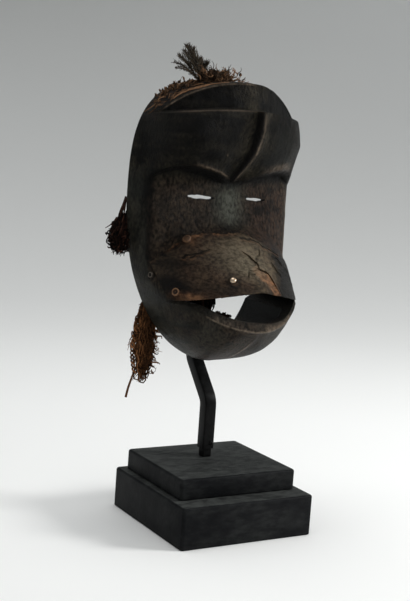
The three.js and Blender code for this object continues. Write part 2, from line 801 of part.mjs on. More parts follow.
/** The fan of dark feathers: thin leaves that spring from one bound root. */
function buildFeathers(grow) {
  const root = new THREE.Vector3(-33, 13, CROWN_TOP_Z + 2);
  const leaves = [];
  const tips = [[-28, 10], [-26, 16], [-22.5, 21], [-16, 25.5], [-10, 24], [-1, 16]];
  tips.forEach(([aside, above], k) => {
    const path = [];
    const radii = [];
    const tip = new THREE.Vector3(root.x + aside, 12 + 3 * scatter(k), root.z + above);
    for (let n = 0; n <= 5; n += 1) {
      const t = n / 5;
      const point = new THREE.Vector3().lerpVectors(root, tip, t);
      point.z += 3 * Math.sin(t * Math.PI);
      path.push(point);
      radii.push(1.4 + grow + 3.6 * Math.sin(Math.min(1, t * 1.15) * Math.PI * 0.86));
    }
    leaves.push(tube(path, radii, 6, 0.3 + grow));
  });
  leaves.push(wasm.Manifold.sphere(5 + grow, 8).scale([1.5, 1, 0.8]).translate(root.toArray()));
  return grow > 0 ? fuse(leaves) : clearOfMask(fuse(leaves));
}

/** Brown fibre heaped on the crown's band, with a shred that trails along it to the left. */
function buildCrestFibre() {
  const top = CROWN_TOP_Z + CREST_RISE;
  const solids = [];
  for (let k = 0; k < 5; k += 1) {
    const x = CREST_STEP * (k - 3.1);
    const size = 6.6 + 1.2 * scatter(k + 3);
    const lump = wasm.Manifold.sphere(size, 8).scale([1.1, 1.25, 0.75]);
    solids.push(lump.translate([x, 12 + 3 * scatter(k), top + 1.5 * scatter(k + 9)]));
  }
  const wispFoot = new THREE.Vector3(-0.8 * CREST_STEP, 12, top + 0.5);
  const wispEnd = new THREE.Vector3(-2.2 * CREST_STEP, 10, CROWN_TOP_Z + CREST_WISP);
  const sprigEnd = new THREE.Vector3(0.3 * CREST_STEP, 10, CROWN_TOP_Z + 0.75 * CREST_WISP);
  solids.push(strand(wispFoot, wispEnd, 2, 4, 2));
  solids.push(strand(wispFoot, sprigEnd, 1.8, 8, 2));
  const path = [];
  const radii = [];
  for (let n = 0; n <= 10; n += 1) {
    const x = -1.6 * CREST_STEP - CREST_TRAIL * (n / 10);
    const y = 15 + 5 * (n / 10) + 1.5 * scatter(n);
    const across = (y - CROWN_Y) / (rimY(CROWN_TOP_Z) - CROWN_Y);
    const z = mix(frontTop(x), rimTop(x), across) + 1.4 + 0.8 * scatter(n * 3);
    path.push(new THREE.Vector3(x, y, z));
    radii.push(CREST_CORD + 1.6 * scatter(n + 5) - 2 * (n / 10));
  }
  solids.push(tube(path, radii, 6, 0.5));
  return clearOfMask(fuse(solids).subtract(buildFeathers(GAP)));
}

/** A ragged hanging bundle: one lumpy body with a few strands that stand out of it. */
function bundle(knot, foot, thick, strands, seed) {
  const path = [];
  const radii = [];
  for (let n = 0; n <= 6; n += 1) {
    const t = n / 6;
    const point = new THREE.Vector3().lerpVectors(knot, foot, t);
    point.x += 1.6 * scatter(seed + n) * Math.sin(t * Math.PI);
    path.push(point);
    radii.push(thick * (0.3 + 0.7 * Math.sin(Math.min(1, 0.12 + t) * 2.45)) + 0.9 * scatter(seed + 3 * n));
  }
  const solids = [tube(path, radii.map((r) => Math.max(1.2, r)), 6, 0.5)];
  const across = thick * 1.1;
  for (let k = 0; k < strands; k += 1) {
    const spread = (2 * k) / Math.max(1, strands - 1) - 1;
    const end = foot.clone();
    end.x += across * spread + 1.5 * scatter(seed + k);
    end.y += 2 * scatter(seed + k + 4);
    end.z += 4 * Math.abs(spread) + 4 * scatter(seed + k + 7) - 3;
    solids.push(strand(knot, end, thick * 0.36, seed + k * 2.3, thick * 0.5));
  }
  return solids;
}

/** The black tuft tied at the left edge. */
function buildEarFibre() {
  const knot = new THREE.Vector3(-RIM_HALF_WIDTH, RIM_Y + 1.5, RIM_MIDDLE_Z - EAR_KNOT_DROP);
  const foot = new THREE.Vector3(knot.x - EAR_TUFT_RADIUS, knot.y, knot.z - EAR_TUFT_LENGTH);
  return clearOfMask(fuse(bundle(knot, foot, EAR_TUFT_RADIUS, 4, 3)));
}

/** The ragged brown tassel at the lower left, with one thin tail. */
function buildTassel() {
  const z = RIM_BOTTOM_Z + TASSEL_KNOT_RISE;
  const knot = new THREE.Vector3(2.5 - rimHalfWidth(z), RIM_Y - 2, z);
  const foot = new THREE.Vector3(knot.x + 3, knot.y, z - TASSEL_LENGTH);
  const solids = bundle(knot, foot, 11, 5, 11);
  const tail = new THREE.Vector3(knot.x - 14, knot.y, z - TASSEL_TAIL);
  const tailRoot = new THREE.Vector3(knot.x - 5, knot.y, z - 0.83 * TASSEL_LENGTH);
  solids.push(strand(tailRoot, tail, 1.6, 3, 3));
  return clearOfMask(fuse(solids));
}

/** Black fibre that hangs inside, seen at the left of the mouth. */
function buildMouthFibre() {
  const knot = new THREE.Vector3(-24, MUZZLE_ROOT_Y + 1, UPPER_LIP_Z + 2);
  const foot = new THREE.Vector3(-18, MUZZLE_ROOT_Y - 3, LOWER_LIP_Z + 3.5);
  return clearOfMask(fuse(bundle(knot, foot, 8, 3, 21)));
}

/** A square bar swept through the YZ plane along a list of points. */
function squareBar(route, side) {
  const points = [];
  const triangles = [];
  route.forEach((here, k) => {
    const before = route[Math.max(0, k - 1)];
    const after = route[Math.min(route.length - 1, k + 1)];
    const inward = new THREE.Vector2().subVectors(here, before).normalize();
    const outward = new THREE.Vector2().subVectors(after, here).normalize();
    const ahead = new THREE.Vector2().addVectors(inward, outward).normalize();
    const steady = k > 0 && k + 1 < route.length ? inward.dot(ahead) : 1;
    const nx = -ahead.y / steady;
    const ny = ahead.x / steady;
    const half = side / 2;
    [[-1, -1], [1, -1], [1, 1], [-1, 1]].forEach(([sx, sn]) => {
      points.push([sx * half, here.x + sn * half * nx, here.y + sn * half * ny]);
    });
  });
  for (let k = 0; k + 1 < route.length; k += 1) {
    for (let n = 0; n < 4; n += 1) {
      const a = k * 4 + n;
      const b = k * 4 + ((n + 1) % 4);
      triangles.push([a, b, b + 4], [a, b + 4, a + 4]);
    }
  }
  const end = (route.length - 1) * 4;
  triangles.push([0, 2, 1], [0, 3, 2], [end, end + 1, end + 2], [end, end + 2, end + 3]);
  return positive(solidOf(points, triangles));
}

/** Points of a bent line with its corners rounded by arcs. */
function rounded(corners, radius, steps = 5) {
  const route = [corners[0]];
  for (let k = 1; k + 1 < corners.length; k += 1) {
    const toward = new THREE.Vector2().subVectors(corners[k - 1], corners[k]).normalize();
    const away = new THREE.Vector2().subVectors(corners[k + 1], corners[k]).normalize();
    const half = Math.acos(THREE.MathUtils.clamp(toward.dot(away), -1, 1)) / 2;
    const back = radius / Math.tan(half);
    const start = corners[k].clone().addScaledVector(toward, back);
    const stop = corners[k].clone().addScaledVector(away, back);
    for (let n = 0; n <= steps; n += 1) {
      const t = n / steps;
      const a = start.clone().lerp(corners[k], t);
      const b = corners[k].clone().lerp(stop, t);
      route.push(a.lerp(b, t));
    }
  }
  route.push(corners[corners.length - 1]);
  return route;
}

/** Height of the muzzle's inner ceiling on the middle line, at a depth y. */
function ceilingAt(y) {
  let z = FACE_LOW_Z;
  while (insideY(0, z) > y && z > UPPER_LIP_Z) z -= 0.25;
  return z;
}

/** The square bar, its set-back riser, the finger under the muzzle's ceiling and the cross bar. */
function buildRod() {
  const riserY = RIM_Y + GAP + ROD_SIDE / 2;
  const top = ceilingAt(FINGER_TIP_Y) - FINGER_CLEARANCE - ROD_SIDE / 2;
  const corners = [
    new THREE.Vector2(ROD_Y, PLINTH_TOP + POST_SHOW),
    new THREE.Vector2(ROD_Y, ROD_BEND_START),
    new THREE.Vector2(riserY, ROD_BEND_END),
    new THREE.Vector2(riserY, top),
    new THREE.Vector2(FINGER_TIP_Y, top),
  ];
  const bar = squareBar(rounded(corners, ROD_BEND_RADIUS), ROD_SIDE);
  const reach = rimHalfWidth(CRADLE_Z) - 2;
  const cross = wasm.Manifold.cube([2 * reach, CRADLE_SIDE, CRADLE_SIDE], true);
  const crossY = rimY(CRADLE_Z) + 2 * GAP + CRADLE_SIDE / 2;
  return clearOfMask(bar.add(cross.translate([0, crossY, CRADLE_Z])));
}

function buildPost() {
  const height = POST_SHOW - 2 * GAP;
  return wasm.Manifold.cube([POST_SIDE, POST_SIDE, height], true)
    .translate([0, ROD_Y, PLINTH_TOP + GAP + height / 2]);
}

const PLINTH_TOP = PLINTH_LOWER_HEIGHT + GAP + PLINTH_UPPER_HEIGHT;
const grownMask = maskShell(GAP);
const grownShell = maskShell(GAP * 0.8);

const hide = buildHide();

const mask = buildMask();
const solids = {
  mask,
  muzzle_hide: hide,
  nail_top: buildNail(NAIL_TOP),
  nail_muzzle: buildNail(NAIL_MUZZLE),
  nail_lip: buildNail(NAIL_LIP),
  nail_side: buildNail(NAIL_SIDE),
  feather_tuft: buildFeathers(0),
  crest_fibre: buildCrestFibre(),
  ear_fibre: buildEarFibre(),
  tassel: buildTassel(),
  mouth_fibre: buildMouthFibre(),
  mount_rod: buildRod(),
  base_post: buildPost(),
  plinth_upper: block(PLINTH_UPPER_WIDTH, PLINTH_UPPER_DEPTH, PLINTH_UPPER_HEIGHT, PLINTH_EDGE)
    .translate([0, PLINTH_UPPER_BACK, PLINTH_LOWER_HEIGHT + GAP]),
  plinth_lower: block(PLINTH_SIDE, PLINTH_SIDE, PLINTH_LOWER_HEIGHT, PLINTH_EDGE),
};

const looks = {
  mask: [0x211d18, 0.55, 0],
  muzzle_hide: [0x46402f, 0.8, 0],
  nail_top: [0x5a4630, 0.4, 0.8],
  nail_muzzle: [0xb0a890, 0.3, 0.9],
  nail_lip: [0x6a5c48, 0.45, 0.8],
  nail_side: [0x4a4238, 0.5, 0.8],
  feather_tuft: [0x1a1612, 0.7, 0],
  crest_fibre: [0x4a3a2a, 0.95, 0],
  ear_fibre: [0x121110, 0.9, 0],
  tassel: [0x2e2014, 0.95, 0],
  mouth_fibre: [0x0e0d0c, 0.95, 0],
  mount_rod: [0x151515, 0.5, 0.2],
  base_post: [0x151515, 0.4, 0.4],
  plinth_upper: [0x1b1c1c, 0.45, 0],
  plinth_lower: [0x1b1c1c, 0.45, 0],
};

/** A named mesh from a solid. */
function meshOf(name, solid) {
  const { vertProperties, triVerts } = solid.getMesh();
  const geometry = new THREE.BufferGeometry();
  geometry.setAttribute('position', new THREE.BufferAttribute(vertProperties, 3));
  geometry.setIndex(new THREE.BufferAttribute(triVerts, 1));
  const [color, roughness, metalness] = looks[name];
  const material = new THREE.MeshStandardMaterial({ color, roughness, metalness });
  material.flatShading = true;
  const mesh = new THREE.Mesh(geometry, material);
  mesh.name = name;
  return mesh;
}

const group = new THREE.Group();
Object.entries(solids).forEach(([name, solid]) => {
  group.add(meshOf(name, solid));
});

export default group;
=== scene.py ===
# %% [markdown]
# # A carved face mask on its stand
# The mask is one hollow shell of dark wood. Worn hide is nailed over its muzzle, feathers and
# fibres hang from its rim, and a bent square bar on a stepped black plinth carries it.
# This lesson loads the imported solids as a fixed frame, and dresses every one of them with a finer
# surface worked out as whole arrays. All the sums are in millimetres, and the last step of each
# piece turns them into metres.

import bpy
import numpy as np
from mathutils import Matrix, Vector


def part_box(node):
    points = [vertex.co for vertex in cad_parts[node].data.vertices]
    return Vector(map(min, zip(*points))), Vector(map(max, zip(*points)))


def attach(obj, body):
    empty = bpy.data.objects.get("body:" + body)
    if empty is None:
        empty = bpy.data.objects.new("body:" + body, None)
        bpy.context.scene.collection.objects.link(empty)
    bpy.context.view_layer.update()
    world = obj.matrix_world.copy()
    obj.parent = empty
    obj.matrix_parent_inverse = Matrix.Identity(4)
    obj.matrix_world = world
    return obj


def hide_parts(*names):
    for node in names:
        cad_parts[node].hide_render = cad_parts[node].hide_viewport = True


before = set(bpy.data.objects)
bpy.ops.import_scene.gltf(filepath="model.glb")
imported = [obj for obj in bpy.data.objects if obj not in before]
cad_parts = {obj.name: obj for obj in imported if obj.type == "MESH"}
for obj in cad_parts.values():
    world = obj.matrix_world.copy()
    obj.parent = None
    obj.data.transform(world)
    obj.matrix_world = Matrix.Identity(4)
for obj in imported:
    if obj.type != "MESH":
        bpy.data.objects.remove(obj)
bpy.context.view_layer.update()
print("solids:", sorted(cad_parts))

# %% [markdown]
# ## The camera
# The plinth's eight corners fix where the photographer stood: 30 degrees round from the front,
# seven and a half above the level, with the camera turned four degrees. A camera could be placed
# with an empty that it tracks; here its three axes are worked out, because the turn is small and
# has to be right.

# %% The camera's three axes and its place
MM = 0.001
AZIMUTH, ELEVATION, TURN = np.radians([-30.38, 7.51, 3.99])
FOCUS_PIXELS = 1136.0
LONG_SIDE_PIXELS = 601.0
CAMERA_OFFSET = (-4.03, 196.82, 1022.6)
SENSOR_WIDTH = 36.0


def placed(x_axis, y_axis, z_axis, point):
    """The matrix of an object with these three axes and its origin at a point."""
    return Matrix([[x_axis[k], y_axis[k], z_axis[k], point[k]] for k in range(3)] + [[0, 0, 0, 1]])


back = np.array([
    np.sin(AZIMUTH) * np.cos(ELEVATION),
    -np.cos(AZIMUTH) * np.cos(ELEVATION),
    np.sin(ELEVATION),
])
level = np.array([np.cos(AZIMUTH), np.sin(AZIMUTH), 0.0])
steep = np.cross(back, level)
right = level * np.cos(TURN) + steep * np.sin(TURN)
upward = -level * np.sin(TURN) + steep * np.cos(TURN)
eye = MM * (CAMERA_OFFSET[0] * right + CAMERA_OFFSET[1] * upward + CAMERA_OFFSET[2] * back)

camera = bpy.data.objects.new("camera", bpy.data.cameras.new("camera"))
camera.matrix_world = placed(right, upward, back, eye)
camera.data.sensor_width = SENSOR_WIDTH
camera.data.lens = FOCUS_PIXELS * SENSOR_WIDTH / LONG_SIDE_PIXELS
bpy.context.scene.collection.objects.link(camera)
bpy.context.scene.camera = camera
bpy.context.scene.view_settings.view_transform = "Standard"
print("lens", round(camera.data.lens, 2), "mm, eye at", eye.round(3))

# %% [markdown]
# ## Helpers that put arrays into meshes
# A surface is a grid of points, so its faces follow from the number of rows and columns alone.
# A strand is a line of centres with a ring round each. Both are written once and used for every
# piece, so that each piece only has to say where its points are.

# %% From arrays to a mesh
def grid_quads(rows, columns, start=0):
    """Faces of a grid whose rows run downwards and columns to the right, seen from outside:
    each cell (j, i) joins its corner, the one below, the one below right and the one right."""
    corner = (np.arange(rows - 1)[:, None] * columns + np.arange(columns - 1)[None, :]).ravel()
    corner = corner + start
    return np.stack([corner, corner + columns, corner + columns + 1, corner + 1], 1)


def ring_quads(ring, outer):
    """Faces between two closed rings of point numbers, where ring is the one walked first."""
    return np.stack([ring, np.roll(ring, -1), np.roll(outer, -1), outer], 1)


def new_piece(name, points, faces):
    """One object from points in millimetres and a list of faces, each a list of point numbers."""
    mesh = bpy.data.meshes.new(name)
    mesh.from_pydata((np.asarray(points) * MM).tolist(), [], faces)
    mesh.validate()
    mesh.shade_smooth()
    piece = bpy.data.objects.new(name, mesh)
    bpy.context.scene.collection.objects.link(piece)
    return piece


def mesh_piece(name, points, quads, triangles=()):
    """One object from points in millimetres and arrays of four and three point numbers."""
    faces = np.asarray(quads, int).reshape(-1, 4).tolist()
    faces += np.asarray(triangles, int).reshape(-1, 3).tolist()
    return new_piece(name, points, faces)


def tube_faces(stations, sides):
    """Quads between closed rings that follow one another, and a fan at each end round a centre
    point; the two centres are numbered after all the rings."""
    first = np.arange(sides)
    last = first + (stations - 1) * sides
    centre = np.full(sides, stations * sides)
    quads = [ring_quads(first + k * sides, first + (k + 1) * sides) for k in range(stations - 1)]
    fans = [
        np.stack([centre, np.roll(first, -1), first], 1),
        np.stack([centre + 1, last, np.roll(last, -1)], 1),
    ]
    return np.concatenate(quads), np.concatenate(fans)


def close_tube(name, rings):
    """Joins rings of equal count into a closed skin, each end a fan round the ring's mean."""
    rings = np.asarray(rings)
    ends = np.stack([rings[0].mean(0), rings[-1].mean(0)])
    return mesh_piece(name, np.concatenate([rings.reshape(-1, 3), ends]), *tube_faces(*rings.shape[:2]))


def apply_modifiers(piece, crisp):
    """Writes what the modifiers make into the mesh, where edges bent by more than crisp degrees
    stay sharp."""
    made = piece.evaluated_get(bpy.context.evaluated_depsgraph_get())
    piece.data = bpy.data.meshes.new_from_object(made)
    piece.modifiers.clear()
    piece.data.shade_smooth()
    piece.data.set_sharp_from_angle(angle=np.radians(crisp))


def points_of(piece):
    """The points of a piece in millimetres, as one array."""
    flat = np.empty(len(piece.data.vertices) * 3, np.float32)
    piece.data.vertices.foreach_get("co", flat)
    return flat.reshape(-1, 3).astype(float) / MM


def paint(piece, name, values):
    """Stores one number per point on the mesh, for a material to read by that name."""
    layer = piece.data.attributes.new(name, "FLOAT", "POINT")
    layer.data.foreach_set("value", np.clip(values, 0, 1).astype(np.float32))


def dress(piece, node, material):
    """The piece stands for a solid of the frame, rides with the whole and takes a material."""
    piece.data.materials.clear()
    piece.data.materials.append(material)
    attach(piece, "root")
    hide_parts(node)
    triangles = sum(len(face.vertices) - 2 for face in piece.data.polygons)
    print(f"{piece.name}: {triangles} triangles")


# %% Strands: many thin tubes at once
def unit(vectors, least=0.0):
    """Vectors divided by their length, plus a least length where one might be nothing."""
    return vectors / (np.linalg.norm(vectors, axis=-1, keepdims=True) + least)


def tubes(name, centres, radii, sides=5, shade=1.0):
    """Skins many strands at once. Round each centre c stands the ring c + r (cos a u + sin a v),
    with u and v across the strand's run, and rings are joined by quads and closed by fans. Each
    strand has a random tone of its own, times its shade."""
    centres = np.asarray(centres, float)
    strands, stations = centres.shape[:2]
    radii = np.broadcast_to(radii, (strands, stations))
    run = unit(np.gradient(centres, axis=1), 1e-9)
    mean = run.mean(1, keepdims=True)
    other = np.where(np.abs(mean[..., 1:2]) > 0.8, [1.0, 0, 0], [0, 1.0, 0])
    u = unit(np.cross(run, other), 1e-9)
    v = np.cross(run, u)
    angle = (np.arange(sides) * 2 * np.pi / sides)[:, None]
    ring = np.cos(angle) * u[:, :, None, :] + np.sin(angle) * v[:, :, None, :]
    skin = centres[:, :, None, :] + radii[:, :, None, None] * ring
    tips = centres[:, [0, -1]]
    points = np.concatenate([skin.reshape(strands, -1, 3), tips], 1)
    per = stations * sides + 2
    cell = np.arange((stations - 1) * sides)
    after = cell - cell % sides + (cell + 1) % sides
    quad = np.stack([cell, after, after + sides, cell + sides], 1)
    edge = np.arange(sides)
    following = (edge + 1) % sides
    last = (stations - 1) * sides
    foot = np.stack([np.full(sides, per - 2), following, edge], 1)
    head = np.stack([np.full(sides, per - 1), last + edge, last + following], 1)
    shift = (np.arange(strands) * per)[:, None, None]
    piece = mesh_piece(
        name, points.reshape(-1, 3), (quad + shift).reshape(-1, 4),
        (np.concatenate([foot, head]) + shift).reshape(-1, 3),
    )
    tone = np.random.default_rng(strands).random(strands) * shade
    paint(piece, "tone", np.repeat(tone, per))
    return piece


def strand_lines(starts, ends, sway, stations, rng, curl=0.0, turns=1.0):
    """Centre lines from starts to ends: straight, plus sway times a half wave and half as much of
    a full wave in directions of each strand's own, plus a circle of radius curl that grows towards
    the end."""
    t = np.linspace(0, 1, stations)[None, :, None]
    lines = starts[:, None, :] + (ends - starts)[:, None, :] * t
    bend = rng.normal(size=(len(starts), 2, 3))
    sway = np.broadcast_to(sway, (len(starts),))[:, None, None]
    lines = lines + sway * bend[:, :1] * np.sin(np.pi * t)
    lines = lines + 0.5 * sway * bend[:, 1:] * np.sin(2 * np.pi * t)
    if np.any(curl):
        phase = rng.random((len(starts), 1)) * 2 * np.pi
        angle = phase + 2 * np.pi * turns * t[..., 0]
        circle = np.stack([np.cos(angle), 0.6 * np.sin(angle), np.sin(angle)], 2)
        circle = circle - circle[:, :1]
        lines = lines + np.broadcast_to(curl, (len(starts),))[:, None, None] * circle * t
    return lines


def taper(radius, stations, count, rng, tip=0.3, spread=0.3):
    """Radii that fall from full to tip times full, each strand a little thicker or thinner."""
    own = radius * (1 + spread * rng.uniform(-1, 1, (count, 1)))
    return own * (1 - (1 - tip) * np.linspace(0, 1, stations)[None, :] ** 2)


# %% Smooth repeatable noise
def smooth_noise(u, v, size_u, size_v, seed):
    """Random numbers between -1 and 1 on a lattice, eased between with 3t^2 - 2t^3."""
    table = np.random.default_rng(seed).random((64, 64)) * 2 - 1
    a, b = np.asarray(u) / size_u + 1000, np.asarray(v) / size_v + 1000
    i, j = np.floor(a).astype(int), np.floor(b).astype(int)
    s, t = a - i, b - j
    s, t = s * s * (3 - 2 * s), t * t * (3 - 2 * t)
    near = table[i % 64, j % 64] * (1 - s) + table[(i + 1) % 64, j % 64] * s
    far = table[i % 64, (j + 1) % 64] * (1 - s) + table[(i + 1) % 64, (j + 1) % 64] * s
    return near * (1 - t) + far * t


print("helpers are ready")

# %% [markdown]
# ## The mask's surface as functions
# The real mask is carved from one block, so its whole front can be said as one depth over the
# face's outline: how far forward the wood stands at (x, z). Named curves cross it: the crown's
# arc, the ledge, the brows, the muzzle's root and the two lips. The same sizes made the solids, so
# the finer surface lies on them.

# %% Sizes of the mask, in millimetres
RIM_HALF_WIDTH, RIM_MIDDLE_Z, RIM_TOP_Z, RIM_BOTTOM_Z = 81.0, 290.0, 388.0, 142.0
RIM_UPPER_POWER, RIM_LOWER_POWER, RIM_LOWER_ROUND = 3.0, 2.25, 0.52
RIM_Y, RIM_BOW_TOP, RIM_BOW_CHIN = 43.0, 5.0, 13.0
FACE_HALF_WIDTH, SHOULDER_HALF_WIDTH, SHOULDER_Z = 70.8, 70.0, 357.0
CROWN_TOP_Z, CROWN_ARC_POWER, CHIN_CORNER_Z, JAW_BAND, WALL = 386.5, 2.4, 172.0, 1.5, 9.0
CROWN_Y, CROWN_SWEEP, CROWN_POINT_ROUND, CROWN_LEAN = -16.0, 33.0, 12.0, 0.17
LEDGE_Z, LEDGE_DROP, LEDGE_STEP = 363.0, 7.0, 1.6
EDGE_Y, EDGE_SHOULDER_DROP, EDGE_LOWER_SLOPE = 21.5, 6.5, 0.05
FOREHEAD_DEPTH, FOREHEAD_SINK, NOSE_ROOT_SINK, NOSE_ROOT_WIDTH = 48.0, 0.31, 0.32, 16.0
RIDGE_HEIGHT, RIDGE_WIDTH, RIDGE_ASIDE = 4.2, 4.4, 4.0
BROW_Z, BROW_ARCH, BROW_PEAK_X, BROW_RECESS = 315.0, 13.0, 50.0, 5.0
FACE_Y, FACE_LOW_Y, FACE_LOW_Z = 3.5, -1.0, 267.0
MUZZLE_SIDE_DROP, MUZZLE_SIDE_POWER, MUZZLE_SWELL, MUZZLE_ROOT_ROUND = 30.0, 2.6, 0.75, 0.12
EYE_Z, EYE_INNER_X, EYE_OUTER_X, EYE_HEIGHT = 288.0, 15.7, 39.2, 4.2
MUZZLE_ROOT_Y, MUZZLE_DEPTH, JAW_DEPTH = 13.0, 69.0, 73.0
MUZZLE_PLAN_POWER, MUZZLE_ROUND_POWER = 1.7, 0.56
UPPER_LIP_Z, UPPER_LIP_DROP, MOUTH_HALF_WIDTH = 214.0, 12.0, 55.0
LOWER_LIP_Z, LOWER_LIP_RISE, LOWER_LIP_CORNER_Z, LIP_FACE = 180.5, 16.0, 199.5, 7.5
JAW_CURVE, JAW_SIDE_CURVE, JAW_KEEL_WIDTH = 0.526, 0.26, 20.0


# %% Outline curves
def share_of(value, whole):
    """How far along a length a value is, between 0 and 1, sign left out."""
    return np.clip(np.abs(value) / whole, 0, 1)


def mix(a, b, t):
    """Straight blend of a and b, with t held between 0 and 1."""
    return a + (b - a) * np.clip(t, 0, 1)


def bump_at(value, centre, width):
    """A soft bump: 1 at the centre, falling with the square of the distance over the width."""
    return np.exp(-(((value - centre) / width) ** 2))


def between(value, low, high, soft):
    """1 between low and high, with soft edges."""
    return np.clip((value - low) / soft, 0, 1) * np.clip((high - value) / soft, 0, 1)


def rim_half_width(z):
    """Superellipse above the middle, and a rounder one down to the chin."""
    high = np.clip((z - RIM_MIDDLE_Z) / (RIM_TOP_Z - RIM_MIDDLE_Z), 0, 1)
    low = np.clip((RIM_MIDDLE_Z - z) / (RIM_MIDDLE_Z - RIM_BOTTOM_Z), 0, 1)
    upper = (1 - high**RIM_UPPER_POWER) ** (1 / RIM_UPPER_POWER)
    lower = (1 - low**RIM_LOWER_POWER) ** RIM_LOWER_ROUND
    return RIM_HALF_WIDTH * np.where(z >= RIM_MIDDLE_Z, upper, lower)


def rim_top(x):
    """Height of the rim's upper arc."""
    rise = (1 - share_of(x, RIM_HALF_WIDTH) ** RIM_UPPER_POWER) ** (1 / RIM_UPPER_POWER)
    return RIM_MIDDLE_Z + (RIM_TOP_Z - RIM_MIDDLE_Z) * rise


def rim_bottom(x):
    """Height of the rim's lower arc."""
    fall = (1 - share_of(x, RIM_HALF_WIDTH) ** (1 / RIM_LOWER_ROUND)) ** (1 / RIM_LOWER_POWER)
    return RIM_MIDDLE_Z - (RIM_MIDDLE_Z - RIM_BOTTOM_Z) * fall


def rim_y(z):
    """The rim comes forward with the square of the distance from the middle."""
    up = (z - RIM_MIDDLE_Z) / (RIM_TOP_Z - RIM_MIDDLE_Z)
    down = (RIM_MIDDLE_Z - z) / (RIM_MIDDLE_Z - RIM_BOTTOM_Z)
    return RIM_Y - np.where(z >= RIM_MIDDLE_Z, RIM_BOW_TOP * up**2, RIM_BOW_CHIN * down**2)


def front_half_width(z):
    """Half width of the carved front, where it turns into the side band."""
    up = np.maximum(0, z - RIM_MIDDLE_Z) / (SHOULDER_Z - RIM_MIDDLE_Z)
    upper = FACE_HALF_WIDTH - (FACE_HALF_WIDTH - SHOULDER_HALF_WIDTH) * up**2
    return np.where(z >= RIM_MIDDLE_Z, upper, np.minimum(FACE_HALF_WIDTH, rim_half_width(z) - JAW_BAND))


def front_top(x):
    """The crown's front arc, from shoulder to shoulder."""
    arc = share_of(x, SHOULDER_HALF_WIDTH) ** CROWN_ARC_POWER
    return CROWN_TOP_Z - (CROWN_TOP_Z - SHOULDER_Z) * arc


def front_bottom(x):
    """The chin's front arc, just above the rim's."""
    return rim_bottom(x) + JAW_BAND


def ledge_z(x):
    """The ledge under the crown, a shallow parabola."""
    return LEDGE_Z - LEDGE_DROP * (x / SHOULDER_HALF_WIDTH) ** 2


def brow_z(x):
    """Two arches that meet low at the root of the nose."""
    away = np.abs(x)
    inner = BROW_Z - BROW_ARCH * np.maximum(0, 1 - away / BROW_PEAK_X) ** 1.6
    return np.where(away < BROW_PEAK_X, inner, BROW_Z - 3 * ((away - BROW_PEAK_X) / 12) ** 2)


def muzzle_top_z(x):
    """Where the face begins to swell into the muzzle."""
    return FACE_LOW_Z - MUZZLE_SIDE_DROP * share_of(x, FACE_HALF_WIDTH) ** MUZZLE_SIDE_POWER


def upper_lip_z(x):
    """The upper lip, arched a little."""
    return UPPER_LIP_Z - UPPER_LIP_DROP * share_of(x, 60) ** 1.2


def lower_lip_z(x):
    """The lower lip, a parabola that is cut off level at the corners of the mouth."""
    return np.minimum(LOWER_LIP_Z + LOWER_LIP_RISE * (x / 50) ** 2, LOWER_LIP_CORNER_Z)


# %% Depths of the front, region by region
def edge_y(z):
    """Depth of the edge between the face and the side band."""
    up = (z - RIM_MIDDLE_Z) / (SHOULDER_Z - RIM_MIDDLE_Z)
    lower = EDGE_Y - EDGE_LOWER_SLOPE * (RIM_MIDDLE_Z - z)
    return np.where(z >= RIM_MIDDLE_Z, EDGE_Y - EDGE_SHOULDER_DROP * up**2, lower)


def crown_y(x, z):
    """A hyperbola in plan, with a rounded point, that leans back upwards."""
    away = lambda u: np.hypot(u, CROWN_POINT_ROUND) - CROWN_POINT_ROUND
    sweep = CROWN_SWEEP * away(x) / away(SHOULDER_HALF_WIDTH)
    lean = CROWN_LEAN * np.maximum(0, front_top(x) - z) * (1 - np.abs(x) / 80)
    return CROWN_Y + sweep - lean


def ridge_x(fall):
    """The ridge's crest wanders to the right of the middle and comes back at the nose's root."""
    return RIDGE_ASIDE * (1 - fall**4) + 2.6 * np.sin(np.pi * fall)


def forehead_y(x, z):
    """The forehead's bulge, 1 minus a power of the share across, fuller and flatter lower down,
    with the raised ridge along the middle, steep on its left and gentle on its right."""
    fall = np.clip((ledge_z(x) - z) / (ledge_z(x) - brow_z(x)), 0, 1)
    full = np.minimum(1, fall / 0.45)
    share = share_of(x, front_half_width(z) + 0.5)
    plan = (1 - share ** (1.8 + 1.2 * full)) ** (0.7 - 0.2 * full)
    sink = FOREHEAD_SINK + NOSE_ROOT_SINK * np.exp(-((x / NOSE_ROOT_WIDTH) ** 2))
    outer = np.clip((np.abs(x) - 44) / 26, 0, 1)
    depth = FOREHEAD_DEPTH * (1 - sink * fall**2.2) * (1 - 0.45 * outer * fall**3)
    aside = x - ridge_x(fall)
    steep, gentle = np.exp(-((np.abs(aside) / RIDGE_WIDTH) ** 5)), np.exp(-((aside / 6.0) ** 2))
    ridge = RIDGE_HEIGHT * np.where(aside < 0, steep, gentle) * (1 - fall**6)
    return edge_y(z) - depth * plan - ridge


def face_y(x, z):
    """The inset face, nearly flat, running back to its edge at the sides."""
    low = np.clip((EYE_Z - z) / (EYE_Z - FACE_LOW_Z), 0, 1)
    middle = FACE_Y + (FACE_LOW_Y - FACE_Y) * low**2
    return middle + (edge_y(z) - middle) * share_of(x, FACE_HALF_WIDTH) ** 2.2


def lip_y(x, depth):
    """Plan of the lips, a rounded point."""
    share = share_of(x, FACE_HALF_WIDTH + 0.5)
    return MUZZLE_ROOT_Y - depth * (1 - share**MUZZLE_PLAN_POWER) ** MUZZLE_ROUND_POWER


